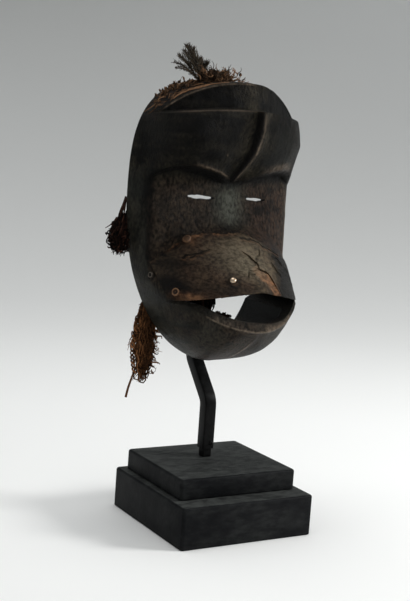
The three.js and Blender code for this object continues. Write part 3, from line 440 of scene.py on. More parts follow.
def muzzle_y(x, z):
    """From the face down to the upper lip, growing with a power of the way down, which starts
    softly, as a hyperbola leaves its axis."""
    top = muzzle_top_z(x)
    fall = np.clip((top - z) / (top - upper_lip_z(x)), 0, 1)
    start = face_y(x, top)
    soft = np.hypot(fall, MUZZLE_ROOT_ROUND) - MUZZLE_ROOT_ROUND
    soft = soft / (np.hypot(1, MUZZLE_ROOT_ROUND) - MUZZLE_ROOT_ROUND)
    swell = start + (lip_y(x, MUZZLE_DEPTH) - start) * soft**MUZZLE_SWELL
    return np.where(z > top, face_y(x, z), swell)


def jaw_y(x, z):
    """The scoop of the jaw: from the chin's rim forward to the lower lip, sharper at the keel."""
    low = rim_bottom(x)
    rise = np.clip((z - low) / np.maximum(0.1, lower_lip_z(x) - low), 0, 1)
    keel = np.exp(-((x / JAW_KEEL_WIDTH) ** 2))
    curve = JAW_SIDE_CURVE + (JAW_CURVE - JAW_SIDE_CURVE) * keel
    reach = rim_y(low)
    return reach - (reach - lip_y(x, JAW_DEPTH)) * rise**curve


def front_y(x, z):
    """The whole carved front: each region takes over below its named curve."""
    ledge, brow, upper, lower = ledge_z(x), brow_z(x), upper_lip_z(x), lower_lip_z(x)
    crown = mix(forehead_y(x, ledge), crown_y(x, z), (z - ledge) / LEDGE_STEP)
    recess = mix(forehead_y(x, brow), face_y(x, z), (brow - z) / BROW_RECESS)
    face = np.minimum(face_y(x, z), muzzle_y(x, z))
    mouth = mix(lip_y(x, MUZZLE_DEPTH), lip_y(x, JAW_DEPTH), (upper - z) / (upper - lower))
    return np.select(
        [z > ledge, z > brow, z > brow - BROW_RECESS, z > upper, z > lower],
        [crown, forehead_y(x, z), recess, face, mouth],
        jaw_y(x, z),
    )


def outside_y(x, z):
    """The front, and the band that runs from its border back to the rim."""
    z_front = np.clip(z, front_bottom(x), front_top(x))
    wide = front_half_width(np.minimum(z_front, SHOULDER_Z))
    x_front = np.minimum(np.abs(x), wide)
    over_x = (np.abs(x) - x_front) / np.maximum(0.5, rim_half_width(z) - wide)
    over = np.maximum(over_x, np.abs(z - z_front) / 2)
    beyond = (z > rim_top(x)) | (z < rim_bottom(x)) | (np.abs(x) > rim_half_width(z))
    return np.where(beyond, RIM_Y + WALL, mix(front_y(x_front, z_front), rim_y(z), over))


def inside_y(x, z):
    """The hollow: the outside rolled over by a ball as big as the wall is thick."""
    y = outside_y(x, z) + WALL
    for reach in (0.35, 0.7, 0.9, 1.0):
        for angle in np.arange(16) * np.pi / 8:
            far = WALL * reach
            lift = WALL * np.sqrt(1 - reach**2)
            y = np.maximum(y, outside_y(x + far * np.cos(angle), z + far * np.sin(angle)) + lift)
    return np.minimum(y, rim_y(z))


print("depth at the nose's root:", round(float(front_y(np.array(0.0), np.array(300.0))), 1))

# %% [markdown]
# ## The mask's fine grid
# Rows of the grid follow the named curves, so that the ledge, the brows and the lips stay crisp
# with no more points than a plain grid would need. The tool marks are added to the depth: short
# strokes of the adze, and a thin bead where the crown meets the band. The eye slits and the mouth
# are then cut straight through, as on the real mask, with Boolean modifiers.

# %% Rows and columns of the front
FINENESS = 5
COLUMNS = 130
ROWS = [
    (front_top, 4),
    (lambda x: ledge_z(x) + LEDGE_STEP * (1 - np.abs(x) / 90), 1),
    (ledge_z, 8),
    (brow_z, 2),
    (lambda x: brow_z(x) - BROW_RECESS, 5),
    (muzzle_top_z, 7),
    (upper_lip_z, 3),
    (lower_lip_z, 9),
    (front_bottom, 0),
]


def front_grid():
    """x and z of every grid point: between two named curves the rows are shared out evenly, and
    every row reaches from the left edge to the right edge of the front."""
    s = np.linspace(-1, 1, COLUMNS + 1)
    x_rows, z_rows = [], []
    for k, (curve, steps) in enumerate(ROWS[:-1]):
        following = ROWS[k + 1][0]
        side = float(curve(np.array(SHOULDER_HALF_WIDTH)))
        next_side = float(following(np.array(SHOULDER_HALF_WIDTH)))
        if k == len(ROWS) - 2:
            next_side = CHIN_CORNER_Z
        upper = curve(s * front_half_width(np.array(side)))
        lower = following(s * front_half_width(np.array(next_side)))
        steps *= FINENESS
        count = steps + 1 if k == len(ROWS) - 2 else steps
        t = np.arange(count)[:, None] / steps
        heights = side + (next_side - side) * t
        x_rows.append(s[None, :] * front_half_width(heights))
        z_rows.append(upper[None, :] + (lower - upper)[None, :] * t)
    return s, np.concatenate(x_rows), np.concatenate(z_rows)


def tool_marks(x, z):
    """Relief of the carving in millimetres, outwards: adze strokes, fine scratches along the
    grain, the bead at the crown's edge, the brow's welt and hollow, and the jaw's keel."""
    marks = 0.42 * smooth_noise(x + 0.3 * z, z, 7, 12, 1) + 0.2 * smooth_noise(x, z, 2.4, 7, 2)
    marks = marks + 0.6 * smooth_noise(x, z, 24, 30, 3) + 0.1 * smooth_noise(x, z, 1.7, 1.9, 4)
    crown = z > ledge_z(x) + LEDGE_STEP
    bead = 0.55 * np.exp(-(((front_top(x) - z - 1.0) / 1.1) ** 2)) * crown
    brow = 0.6 * np.exp(-(((z - brow_z(x) - 1.5) / 1.6) ** 2))
    hollow = -0.9 * np.exp(-(((z - brow_z(x) - 7) / 3.5) ** 2)) * np.exp(-(((x + 32) / 22) ** 2))
    keel = 0.9 * bump_at(x, 1, 1.6) * between(z, 143, 178, 6)
    sides = np.clip((front_half_width(z) - np.abs(x)) / 4, 0, 1)
    return (marks + brow + hollow + keel) * sides + bead


# %% The shell: front, band, rim and hollow
BAND_STATIONS = np.array([0.05, 0.12, 0.2, 0.3, 0.4, 0.5, 0.6, 0.7, 0.8, 0.88, 0.95, 0.985, 1.0])
CHIN_NARROWING = 0.14


def border_loop(rows, columns):
    """Grid indices (row, column) once round the border, starting at the upper left."""
    top = [(0, i) for i in range(columns)]
    right_side = [(j, columns - 1) for j in range(1, rows)]
    bottom = [(rows - 1, i) for i in range(columns - 2, -1, -1)]
    left_side = [(j, 0) for j in range(rows - 2, 0, -1)]
    return np.array(top + right_side + bottom + left_side)


def soften_sides(layers, rows, columns, loop, reach=8, rounds=16):
    """Rounds the edge between face and band: each point near it becomes half itself and a quarter
    of each neighbour across the edge, again and again, with the strip's two ends held."""
    front = layers[0].reshape(rows, columns, 3)
    number = np.full((rows, columns), -1)
    number[loop[:, 0], loop[:, 1]] = np.arange(len(loop))
    for column in (0, columns - 1):
        inner = np.abs(column - np.arange(reach)[::-1])
        rim_side = number[:, column]
        behind = np.stack([ring[rim_side] for ring in layers[1:reach]], 1)
        strip = np.concatenate([front[:, inner], behind], 1)
        for _ in range(rounds):
            middle = 0.5 * strip[:, 1:-1] + 0.25 * (strip[:, :-2] + strip[:, 2:])
            strip = np.concatenate([strip[:, :1], middle, strip[:, -1:]], 1)
        front[:, inner] = strip[:, :reach]
        for k in range(1, reach):
            layers[k][rim_side] = strip[:, reach + k - 1]


def carve_shell():
    """Points and faces of the whole shell, before its openings are cut."""
    s, x, z = front_grid()
    rows, columns = x.shape
    y = front_y(x, z) - tool_marks(x, z)
    front = np.stack([x, y, z], 2).reshape(-1, 3)
    loop = border_loop(rows, columns)
    ring = loop[:, 0] * columns + loop[:, 1]
    quads = [grid_quads(rows, columns)]
    edge = front[ring]
    on_side = (loop[:, 1] == 0) | (loop[:, 1] == columns - 1)
    flowing = (on_side * between(edge[:, 2], 304, 364, 8))[:, None]
    side = s[loop[:, 1]]
    x_rim = np.sign(side) * rim_half_width(edge[:, 2])
    z_rim = edge[:, 2].copy()
    upper, lower = loop[:, 0] == 0, loop[:, 0] == rows - 1
    x_rim[upper] = side[upper] * rim_half_width(np.array(SHOULDER_Z))
    z_rim[upper] = rim_top(x_rim[upper])
    x_rim[lower] = side[lower] * rim_half_width(np.array(CHIN_CORNER_Z))
    z_rim[lower] = rim_bottom(x_rim[lower])
    rim = np.stack([x_rim, rim_y(z_rim), z_rim], 1)
    round_about = np.cumsum(np.linalg.norm(np.diff(rim, axis=0, prepend=rim[:1]), axis=1))
    outward = rim - [0, 0, RIM_MIDDLE_Z]
    outward[:, 1] = 0
    outward = unit(outward)
    layers = [front]
    previous = ring
    start = len(front)
    for t in BAND_STATIONS:
        station = np.full(len(rim), t * 60)
        strokes = 0.4 * smooth_noise(round_about, station, 9, 14, 5)
        strokes += 0.25 * smooth_noise(round_about, station, 3, 20, 6)
        arch = np.sin(np.pi * t)
        swell = (0.9 * arch + strokes * arch**0.5)[:, None]
        if t == 1.0:
            swell = np.full((len(rim), 1), -1.1)
        sideways, backwards = t ** (1 + 1.1 * flowing), t ** (1 - 0.15 * flowing)
        spread = np.array([1, 0, 1]) * sideways + np.array([0, 1, 0]) * backwards
        layers.append(edge + (rim - edge) * spread + outward * swell)
        following = start + np.arange(len(loop))
        quads.append(ring_quads(previous, following))
        previous = following
        start += len(loop)
    soften_sides(layers, rows, columns, loop)
    side_z = z[:, -1:]
    squeeze = np.sin(s * np.pi / 2) * 0.5 + s * 0.5
    x_in = squeeze[None, :] * rim_half_width(side_z)
    reach = (z - front_bottom(x_in * 0.97)) / (front_top(x_in * 0.97) - front_bottom(x_in * 0.97))
    span = rim_top(x_in) - rim_bottom(x_in)
    z_in = rim_bottom(x_in) + span * np.clip(reach, 0.005, 0.995)
    z_in = z_in + (side_z - z_in) * np.abs(s)[None, :] ** 6
    x_in[0] = squeeze * rim_half_width(np.array(SHOULDER_Z))
    z_in[0] = rim_top(x_in[0])
    x_in[-1] = squeeze * rim_half_width(np.array(CHIN_CORNER_Z))
    z_in[-1] = rim_bottom(x_in[-1])
    shrink = (RIM_HALF_WIDTH - WALL) / RIM_HALF_WIDTH
    x_hollow = x_in * (shrink - CHIN_NARROWING * between(z_in, 138, 238, 22))
    z_hollow = RIM_MIDDLE_Z + (z_in - RIM_MIDDLE_Z) * shrink
    gouges = 0.55 * smooth_noise(x_hollow, z_hollow, 9, 13, 8)
    y_hollow = np.minimum(inside_y(x_hollow, z_hollow) + 0.4 + gouges, rim_y(z_in))
    y_hollow[0], y_hollow[-1] = rim_y(z_in[0]), rim_y(z_in[-1])
    y_hollow[:, 0], y_hollow[:, -1] = rim_y(z_in[:, 0]), rim_y(z_in[:, -1])
    layers.append(np.stack([x_hollow, y_hollow, z_hollow], 2).reshape(-1, 3))
    quads.append(ring_quads(previous, start + ring))
    quads.append(grid_quads(rows, columns, start)[:, ::-1])
    return np.concatenate(layers), np.concatenate(quads)


mask_points, mask_quads = carve_shell()
mask = mesh_piece("carved_mask", mask_points, mask_quads)
print("shell points:", len(mask_points))


# %% Cutters for the mouth and the eyes
def mouth_cutter():
    """A bar through the mask whose section at x is six points: the upper lip, the lower lip and
    the lower lip's sloping face, with the corners drawn together."""
    x = MOUTH_HALF_WIDTH * np.sin(np.linspace(-0.5, 0.5, 81) * np.pi)
    rough = 0.25 * smooth_noise(x, 0 * x, 3, 3, 11)
    top, low = upper_lip_z(x) + rough, lower_lip_z(x) + 0.6 * rough
    face = np.minimum(LIP_FACE * (1 - 0.6 * np.clip(x / 32, 0, 1)), 0.6 * (top - low))
    lip = lip_y(x, JAW_DEPTH)
    near, far = np.full_like(x, -110.0), np.full_like(x, 90.0)
    section = np.stack([
        np.stack([x, near, top], 1), np.stack([x, near, low], 1), np.stack([x, lip, low], 1),
        np.stack([x, lip + face * 0.6, low + face], 1), np.stack([x, far, low + face], 1),
        np.stack([x, far, top], 1),
    ], 1)
    per = 6
    cell = np.arange((len(x) - 1) * per)
    after = cell - cell % per + (cell + 1) % per
    quads = np.stack([cell, cell + per, after + per, after], 1)
    fan = np.arange(1, per - 1)
    end = (len(x) - 1) * per
    caps = np.concatenate([
        np.stack([0 * fan, fan, fan + 1], 1), np.stack([end + 0 * fan, end + fan + 1, end + fan], 1),
    ])
    return mesh_piece("mouth_cutter", section.reshape(-1, 3), quads, caps)


def eye_cutter(side):
    """A slot drawn to points at its ends, with ragged edges, that widens to both sides on the way
    in, so that light passes at a slant. The right one is a little shorter and lower."""
    long, tall = (1.0, 0.41) if side < 0 else (0.93, 0.34)
    near, far, sides = -60.0, 60.0, 56
    angle = (np.arange(sides) + 0.5) / sides * 2 * np.pi
    half = (EYE_OUTER_X - EYE_INNER_X) / 2
    middle = side * (EYE_INNER_X + half)
    ragged = EYE_HEIGHT * tall * (1 + 0.16 * np.sin(5 * angle + side) + 0.14 * np.sin(11 * angle))
    x = middle + half * long * np.cos(angle)
    pointed = np.sign(np.sin(angle)) * np.abs(np.sin(angle)) ** 0.8
    z = EYE_Z - 0.045 * (x - middle) + ragged * pointed
    rings = [
        np.stack([middle + (x - middle) * wide, np.full_like(x, y), z], 1)
        for y, wide in ((near, 1.0), (FACE_Y + 2, 1.0), (far, 2.0))
    ]
    centres = [[middle, y, EYE_Z] for y in (near, far)]
    quads, fans = tube_faces(len(rings), sides)
    return mesh_piece(f"eye_cutter_{side}", np.concatenate([*rings, centres]), quads[:, ::-1], fans[:, ::-1])


def face_outwards(piece):
    """Turns every face of a closed cutter outwards, so that a Boolean knows what is inside."""
    corners = points_of(piece)
    triangles = np.array([
        [face.vertices[0], face.vertices[k], face.vertices[k + 1]]
        for face in piece.data.polygons for k in range(1, len(face.vertices) - 1)
    ])
    a, b, c = corners[triangles[:, 0]], corners[triangles[:, 1]], corners[triangles[:, 2]]
    volume = (a * np.cross(b, c)).sum() / 6
    if volume < 0:
        piece.data.flip_normals()
    return abs(volume)


cutters = [mouth_cutter(), eye_cutter(-1), eye_cutter(1)]
for cutter in cutters:
    print(cutter.name, "holds", round(face_outwards(cutter) / 1000), "ml")
    cut = mask.modifiers.new(cutter.name, "BOOLEAN")
    cut.operation = "DIFFERENCE"
    cut.solver = "MANIFOLD"
    cut.object = cutter
apply_modifiers(mask, 38)
for cutter in cutters:
    bpy.data.objects.remove(cutter)
print("mask after cutting:", len(mask.data.polygons), "faces")

# %% [markdown]
# ## Where the wood is worn, dusty or brown
# The edges are lighter, partly from handling and partly as painted highlights where the light catches them.
# Grey dust lies on the nose and the side band, and the cheeks are browner than the brow. Stains darken the
# chin and the wood at random, the crown and the forehead's left half are darker in streaks, and painted shade
# darkens the wood under the brows, on the ridge's left flank, over the right half, in the step at the face's
# left edge and inside the jaw. A texture can't know where a brow is, but the surface's own functions can, so
# each of these is worked out per point and stored on the mesh for the material to read.

# %% Zones of the mask
def paint_zones(piece):
    """Wear with painted highlights, dust, brown, and dark with painted shade, of each point, from its place
    on the carved front.
    """
    x, y, z = points_of(piece).T
    half, ledge, brow = front_half_width(z), ledge_z(x), brow_z(x)
    on_front = (y < front_y(np.clip(x, -70, 70), z) + 4) & (np.abs(x) < half - 0.2)
    on_band = ~on_front & (y < rim_y(z) + 1)
    hollow = (y > outside_y(x, z) + 5) & (np.abs(x) < rim_half_width(z) - 3)
    chin = between(z, 138, 194, 8) * on_front
    from_ridge = x - ridge_x(np.clip((ledge - z) / (ledge - brow), 0, 1))
    patchy = np.clip(0.55 + 0.9 * smooth_noise(x, z, 9, 7, 71), 0, 1)
    stains = np.clip(smooth_noise(x, z, 15, 9, 73) + 0.6 * smooth_noise(x, z, 6, 4, 74), 0, 1)
    streaks = np.clip(smooth_noise(x, z, 28, 3.2, 75), 0, 1) * between(z, 304, 392, 10)
    # Painted highlights on top of wear: the crown's front edge, the ledge, the ridge's crest, the brows, the
    # face's right edge and the lower lip's edge are lightened where the light catches them.
    wear_and_highlight = 0.9 * bump_at(front_top(x) - z, 0.9, 0.7) * (z > ledge) * between(x, -70, 8, 10)
    wear_and_highlight += 0.6 * bump_at(z, ledge + 0.2, 0.4) * between(x, -66, 2, 16)
    wear_and_highlight += 0.9 * bump_at(from_ridge, 0.4, 0.7) * between(z, 303, 362, 5)
    wear_and_highlight += 0.55 * bump_at(z, brow + 1.2, 0.9) * between(x, -46, -3, 10)
    wear_and_highlight += 0.45 * bump_at(z, brow + 3.5, 3.0) * between(x, 18, 66, 12)
    wear_and_highlight += 0.5 * bump_at(x, half - 1.2, 1.6) * between(z, 238, 300, 10)
    wear_and_highlight *= 0.45 + 0.55 * patchy
    wear_and_highlight += 1.5 * bump_at(z, lower_lip_z(x) - 0.2, 0.6) * between(x, -44, 44, 8) * (0.6 + 0.4 * patchy)
    wear_and_highlight += 1.1 * bump_at(x, 1.2, 0.8) * between(z, 144, 172, 8)
    wear_and_highlight += 0.8 * bump_at(x, -19.5, 0.7) * bump_at(z, 325.5, 0.7)
    wear_and_highlight *= on_front
    dust_and_light = 0.85 * bump_at(x, -2, 12) * between(z, 262, 302, 12)
    dust_and_light += 0.08 * between(z, 312, 356, 12) * between(x, 8, 70, 20)
    dust_and_light += 0.2 * between(z, 150, 196, 12) * (0.3 + 0.7 * patchy)
    dust_and_light *= on_front
    low_band = (0.03 + 0.19 * between(z, 130, 316, 20)) * on_band
    dust_and_light += low_band * (0.5 + 0.5 * smooth_noise(y, z, 5, 40, 72))
    brown = 0.5 * bump_at(z, brow + 0.5, 2.2) * between(x, -56, -2, 10)
    brown += between(z, 205, 308, 14) * (0.45 + 0.55 * between(x, 12, 75, 14))
    brown *= 1 - 0.8 * bump_at(x, -2, 14) * (z > 262)
    brown += 0.6 * between(x, 40, 72, 10) * between(z, 305, 362, 10)
    brown *= on_front
    brown += (0.35 + 0.6 * bump_at(x, -10, 16)) * chin
    brown += 0.7 * bump_at(from_ridge, -3.4, 1.6) * between(z, 303, 364, 4)
    brown += 0.9 * between(x, -76, -44, 8) * between(z, 344, 384, 8) * on_band
    # Painted shade: darker under the brows, on the ridge's left flank, over the right half, in the step at
    # the face's left edge and inside the jaw; the stains and the chin are the wood's own.
    dark = 0.9 * bump_at(z, brow - 3.6, 3.6) + 1.5 * bump_at(from_ridge, -4.2, 2.6) * between(z, 300, 364, 4)
    dark += between(x, 12, 74, 14) * (0.25 * between(z, 240, 300, 8) + 0.92 * between(z, 300, 392, 8))
    dark *= on_front
    dark += 0.7 * stains + (0.3 + 0.5 * stains) * chin
    dark += (0.62 + 0.5 * streaks) * between(z, 306, 392, 14) * between(x, -90, 0, 18)
    dark += 0.8 * bump_at(x, -69.5, 2.4) * between(z, 225, 310, 8)
    dark += 1.6 * hollow * np.clip((z - 178) / 10, 0, 1) + 0.35 * ~on_front * (z < 300)
    for name, values in {"wear_and_highlight": wear_and_highlight, "dust_and_light": dust_and_light * ~hollow, "brown": brown, "dark": dark}.items():
        paint(piece, name, values)
        print(name, "covers", round(float(np.mean(np.clip(values, 0, 1))), 3))


paint_zones(mask)

# %% [markdown]
# ## Shared finishes
# Old wood, hide and paint share a mottled tone, a fine grain that the light catches, and dust or wear laid
# over them; the wear also carries painted highlights on the carved edges, and the dust a painted lighter top
# on the blocks. One node group makes the mottling and the grain and another the dust and the wear, both with
# named inputs, and every material places them with its own values. Everything reads Object coordinates, so
# nothing slides.

# %% Small helpers for node trees
def place(tree, kind, inputs=None, **settings):
    """Adds a node, sets its options, and feeds its inputs."""
    node = tree.nodes.new(kind)
    for key, value in settings.items():
        setattr(node, key, value)
    feed(tree, node, inputs or {})
    return node


def feed(tree, node, inputs):
    """Gives each named or numbered input of a node its value or its link."""
    for key, value in inputs.items():
        if isinstance(value, bpy.types.NodeSocket):
            tree.links.new(value, node.inputs[key])
        else:
            node.inputs[key].default_value = value


def colour_mix(tree, factor, first, second):
    """Blends two colours by a factor, and gives back the result's socket."""
    inputs = {0: factor, 6: first, 7: second}
    return place(tree, "ShaderNodeMix", inputs, data_type="RGBA").outputs[2]


def sums(tree, operation, first, second, **settings):
    """One step of arithmetic on two numbers, and gives back the result's socket."""
    inputs = {0: first, 1: second}
    return place(tree, "ShaderNodeMath", inputs, operation=operation, **settings).outputs[0]


def weighted(tree, first, share, second, other_share):
    """Two numbers added up, each times its share."""
    first, second = sums(tree, "MULTIPLY", first, share), sums(tree, "MULTIPLY", second, other_share)
    return sums(tree, "ADD", first, second)


def new_group(name, inputs, outputs):
    """An empty node group with named sockets."""
    tree = bpy.data.node_groups.new(name, "ShaderNodeTree")
    for label, kind, value in inputs:
        socket = tree.interface.new_socket(label, in_out="INPUT", socket_type="NodeSocket" + kind)
        socket.default_value = value
    for label, kind in outputs:
        tree.interface.new_socket(label, in_out="OUTPUT", socket_type="NodeSocket" + kind)
    return tree, tree.nodes.new("NodeGroupInput"), tree.nodes.new("NodeGroupOutput")


def linear(red, green, blue):
    """A colour as a paint chart gives it, 0 to 255, turned into the light it reflects."""
    c = np.array([red, green, blue]) / 255
    c = np.where(c <= 0.04045, c / 12.92, ((c + 0.055) / 1.055) ** 2.4)
    return (*c.tolist(), 1.0)


# %% Group: mottled grain
def grain_group():
    """Noise in three sizes: blotches of the given size, mottling at a fifth and grain at a
    thirtieth of it, each stretched by the same vector."""
    tree, given, out = new_group(
        "mottled_grain",
        [("Size", "Float", 0.02), ("Stretch", "Vector", (1, 1, 1)), ("Roughness", "Float", 0.55)],
        [("Blotch", "Float"), ("Mottle", "Float"), ("Fine", "Float"), ("Height", "Float")],
    )
    where = place(tree, "ShaderNodeTexCoord")
    scale = sums(tree, "DIVIDE", 1.0, given.outputs["Size"])
    stretched = place(
        tree, "ShaderNodeVectorMath",
        {0: where.outputs["Object"], 1: given.outputs["Stretch"]}, operation="MULTIPLY",
    )
    results = []
    for times in (1.0, 5.0, 30.0):
        noise = place(tree, "ShaderNodeTexNoise", {
            "Vector": stretched.outputs[0], "Scale": sums(tree, "MULTIPLY", scale, times),
            "Detail": 4.0, "Roughness": given.outputs["Roughness"],
        })
        spread = place(tree, "ShaderNodeMapRange", {
            "Value": noise.outputs[0], "From Min": 0.36, "From Max": 0.64,
        })
        results.append(spread.outputs[0])
    height = weighted(tree, results[1], 0.6, results[2], 0.4)
    for label, socket in zip(("Blotch", "Mottle", "Fine", "Height"), (*results, height)):
        tree.links.new(socket, out.inputs[label])
    return tree


# %% Group: dust and wear
def patina_and_light_group():
    """Lays two more colours over a base: wear and painted highlight where its mask and the mottling agree,
    then dust and painted light.
    """
    grey = (0.5, 0.5, 0.5, 1)
    tree, given, out = new_group(
        "patina_and_light",
        [
            ("Base", "Color", grey), ("Wear and highlight", "Float", 0), ("Wear colour", "Color", grey),
            ("Dust and light", "Float", 0), ("Dust colour", "Color", grey), ("Mottle", "Float", 0.5),
            ("Base roughness", "Float", 0.5),
        ],
        [("Color", "Color"), ("Roughness", "Float")],
    )
    pick = given.outputs
    broken = sums(tree, "ADD", sums(tree, "MULTIPLY", pick["Mottle"], 0.8), 0.35)
    worn_and_lit = sums(tree, "MULTIPLY", pick["Wear and highlight"], broken, use_clamp=True)
    dusty_and_lit = sums(tree, "MULTIPLY", pick["Dust and light"], broken, use_clamp=True)
    colour = colour_mix(tree, worn_and_lit, pick["Base"], pick["Wear colour"])
    colour = colour_mix(tree, dusty_and_lit, colour, pick["Dust colour"])
    rough = sums(tree, "SUBTRACT", pick["Base roughness"], sums(tree, "MULTIPLY", worn_and_lit, 0.12))
    rough = sums(tree, "ADD", rough, sums(tree, "MULTIPLY", dusty_and_lit, 0.15))
    rough = sums(tree, "ADD", rough, sums(tree, "MULTIPLY", pick["Mottle"], 0.08))
    tree.links.new(colour, out.inputs["Color"])
    tree.links.new(rough, out.inputs["Roughness"])
    return tree


grain, patina_and_light = grain_group(), patina_and_light_group()
print("groups:", grain.name, patina_and_light.name)


# %% A finish from the two groups
def finish(name, dark, light, size, stretch=(1, 1, 1), rough=0.55, relief=0.0003,
           wear_and_highlight=(110, 100, 88), dust_and_light=(92, 92, 86), warm=None, bump=0.6,
           dusting=None, tone=None, metallic=0.0, specular=0.5):
    """A material: a mottled base between a dark and a light colour, with wear and painted highlights and dust
    and painted light over it, and the grain as its relief. Two warm colours make it browner and darker where
    the mesh says so; the darkening is stains together with painted shade. A tone mixes in each strand's own
    and says how rare the light ones are. Dusting lays dust in blotches and leaves the wear and highlights
    out. Colours are given from 0 to 255."""
    made = bpy.data.materials.new(name)
    made.use_nodes = True
    tree = made.node_tree
    read = lambda key: place(tree, "ShaderNodeAttribute", attribute_name=key).outputs["Fac"]
    sized = {"Size": size, "Stretch": stretch}
    mottled = place(tree, "ShaderNodeGroup", sized, node_tree=grain).outputs
    amount = weighted(tree, mottled["Blotch"], 0.42, mottled["Mottle"], 0.58)
    amount = sums(tree, "POWER", amount, 1.3)
    if tone:
        amount = weighted(tree, amount, 0.35, read("tone"), 0.65)
        amount = sums(tree, "POWER", amount, tone)
    base = colour_mix(tree, amount, linear(*dark), linear(*light))
    if warm:
        brown = colour_mix(tree, mottled["Mottle"], *(linear(*colour) for colour in warm))
        base = colour_mix(tree, sums(tree, "MULTIPLY", read("brown"), 0.85), base, brown)
        # The dark attribute pulls the base towards near black: real stains, and painted shade where the mesh
        # says so.
        base = colour_mix(tree, sums(tree, "MULTIPLY", read("dark"), 0.93), base, linear(6, 6, 6))
    layers = {
        "Base": base, "Mottle": mottled["Mottle"], "Base roughness": rough,
        "Wear colour": linear(*wear_and_highlight), "Dust colour": linear(*dust_and_light), "Dust and light": read("dust_and_light"),
    }
    if dusting is None:
        layers["Wear and highlight"] = read("wear_and_highlight")
    else:
        blotches = sums(tree, "MULTIPLY", mottled["Blotch"], dusting)
        layers["Dust and light"] = sums(tree, "ADD", blotches, layers["Dust and light"])
    over = place(tree, "ShaderNodeGroup", layers, node_tree=patina_and_light).outputs
    grooves = {"Height": mottled["Height"], "Strength": bump, "Distance": relief}
    feed(tree, tree.nodes["Principled BSDF"], {
        "Base Color": over["Color"], "Roughness": over["Roughness"], "Metallic": metallic,
        "Specular IOR Level": specular, "Normal": place(tree, "ShaderNodeBump", grooves).outputs[0],
    })
    return made


# %% The wood
mask_wood = finish(
    "dark_carved_wood", (1, 1, 1), (60, 55, 45), size=0.015, stretch=(1.4, 1.4, 0.8), rough=0.4,
    relief=0.0008, warm=((5, 3, 2), (78, 60, 49)), wear_and_highlight=(124, 108, 92),
    dust_and_light=(86, 88, 80), specular=0.075, bump=1.0,
)
dress(mask, "mask", mask_wood)

# %% [markdown]
# ## The hide over the muzzle
# Thin old hide was stretched wet over the muzzle and nailed at its edges. It has dried, shrunk into
# creases and torn. It could be a cloth simulation, but it hugs the wood with no slack, so it is the
# wood's own surface moved outwards, with creases, a frayed upper edge and the tear taken out of the
# grid; a Solidify modifier then gives the sheet its thickness.

# %% The hide's sheet
HIDE_TOP_Z, HIDE_SIDE_DROP, HIDE_LEFT_POWER, HIDE_RIGHT_POWER = 259.5, 30.0, 3.0, 1.25
GAP = 0.3
HIDE_LIFT, HIDE_SHEET, HIDE_SOLID = 2.1, 1.3, 2.4
NAIL_TOP, NAIL_MUZZLE = (-42.6, 251.0), (-20.2, 221.2)
NAIL_LIP, NAIL_SIDE = (-58.5, 208.5), (-69.4, 220.0)
CRACKS = [
    ([[-48, 249], [-55, 244], [-62, 237]], 0.7), ([[-45, 237.6], [-38, 241.5], [-30, 245]], 0.9),
    ([[-50, 236.3], [-45, 239.8], [-38, 241.5]], 0.6), ([[2, 255], [11, 254.5], [19, 252]], 0.9),
    ([[19.5, 252], [21, 249], [31, 246], [42, 241]], 0.8), ([[3.5, 237.5], [10, 240.5], [16.5, 246]], 0.6),
    ([[30, 240.5], [37, 239], [43, 234.5]], 0.7), ([[5.5, 231.5], [-4, 230], [-8, 226]], 0.55),
    ([[26, 236], [30, 229], [34, 226]], 0.4), ([[48, 231], [55, 226], [57, 217]], 0.6),
]
TEAR = np.array([
    [-4, 245.2], [0, 242.2], [2.4, 239], [6.2, 235.5], [5.6, 232], [14.5, 228.2], [17.8, 222], [21.5, 212],
], float)


def hide_top_z(x):
    """The hide's upper edge, lower on the right."""
    power = np.where(x < 0, HIDE_LEFT_POWER, HIDE_RIGHT_POWER)
    return HIDE_TOP_Z - HIDE_SIDE_DROP * share_of(x, FACE_HALF_WIDTH) ** power


def distance_to(route, x, z):
    """Shortest distance from each point to a line of straight stretches, the side it is on, and
    how far along the line that is, from 0 to 1."""
    start, run = route[:-1], np.diff(route, axis=0)
    dx, dz = x[..., None] - start[:, 0], z[..., None] - start[:, 1]
    t = np.clip((dx * run[:, 0] + dz * run[:, 1]) / (run**2).sum(1), 0, 1)
    away = np.hypot(dx - t * run[:, 0], dz - t * run[:, 1])
    near = away.argmin(-1)[..., None]
    cross = np.take_along_axis(run[:, 0] * dz - run[:, 1] * dx, near, -1)[..., 0]
    along = (np.take_along_axis(t, near, -1)[..., 0] + near[..., 0]) / len(run)
    return np.take_along_axis(away, near, -1)[..., 0], np.sign(cross), along


def cracks(x, z, routes=CRACKS):
    """How close each point is to a crack or a lifted flap, 1 on the line, and 0 further than a
    millimetre or two; the lines wobble with the noise."""
    wobble = 0.9 * smooth_noise(x, z, 4, 4, 30)
    close = 0 * x
    for route, width in routes:
        away, _, along = distance_to(np.array(route, float), x + wobble, z - wobble)
        close = np.maximum(close, np.exp(-((away / (width * (1.15 - 0.6 * along))) ** 2)))
    return close


def creases(x, z):
    """Folds: the zero lines of smooth noise stand up as thin ridges, plus a few long wrinkles."""
    folds = np.exp(-np.abs(smooth_noise(x, z + 0.35 * x, 16, 7, 21)) * 12)
    small = np.exp(-np.abs(smooth_noise(x + 0.5 * z, z, 7, 3.5, 22)) * 9)
    swell = smooth_noise(x, z, 15, 9, 23)
    return 0.8 * folds + 0.4 * small + 0.7 * swell


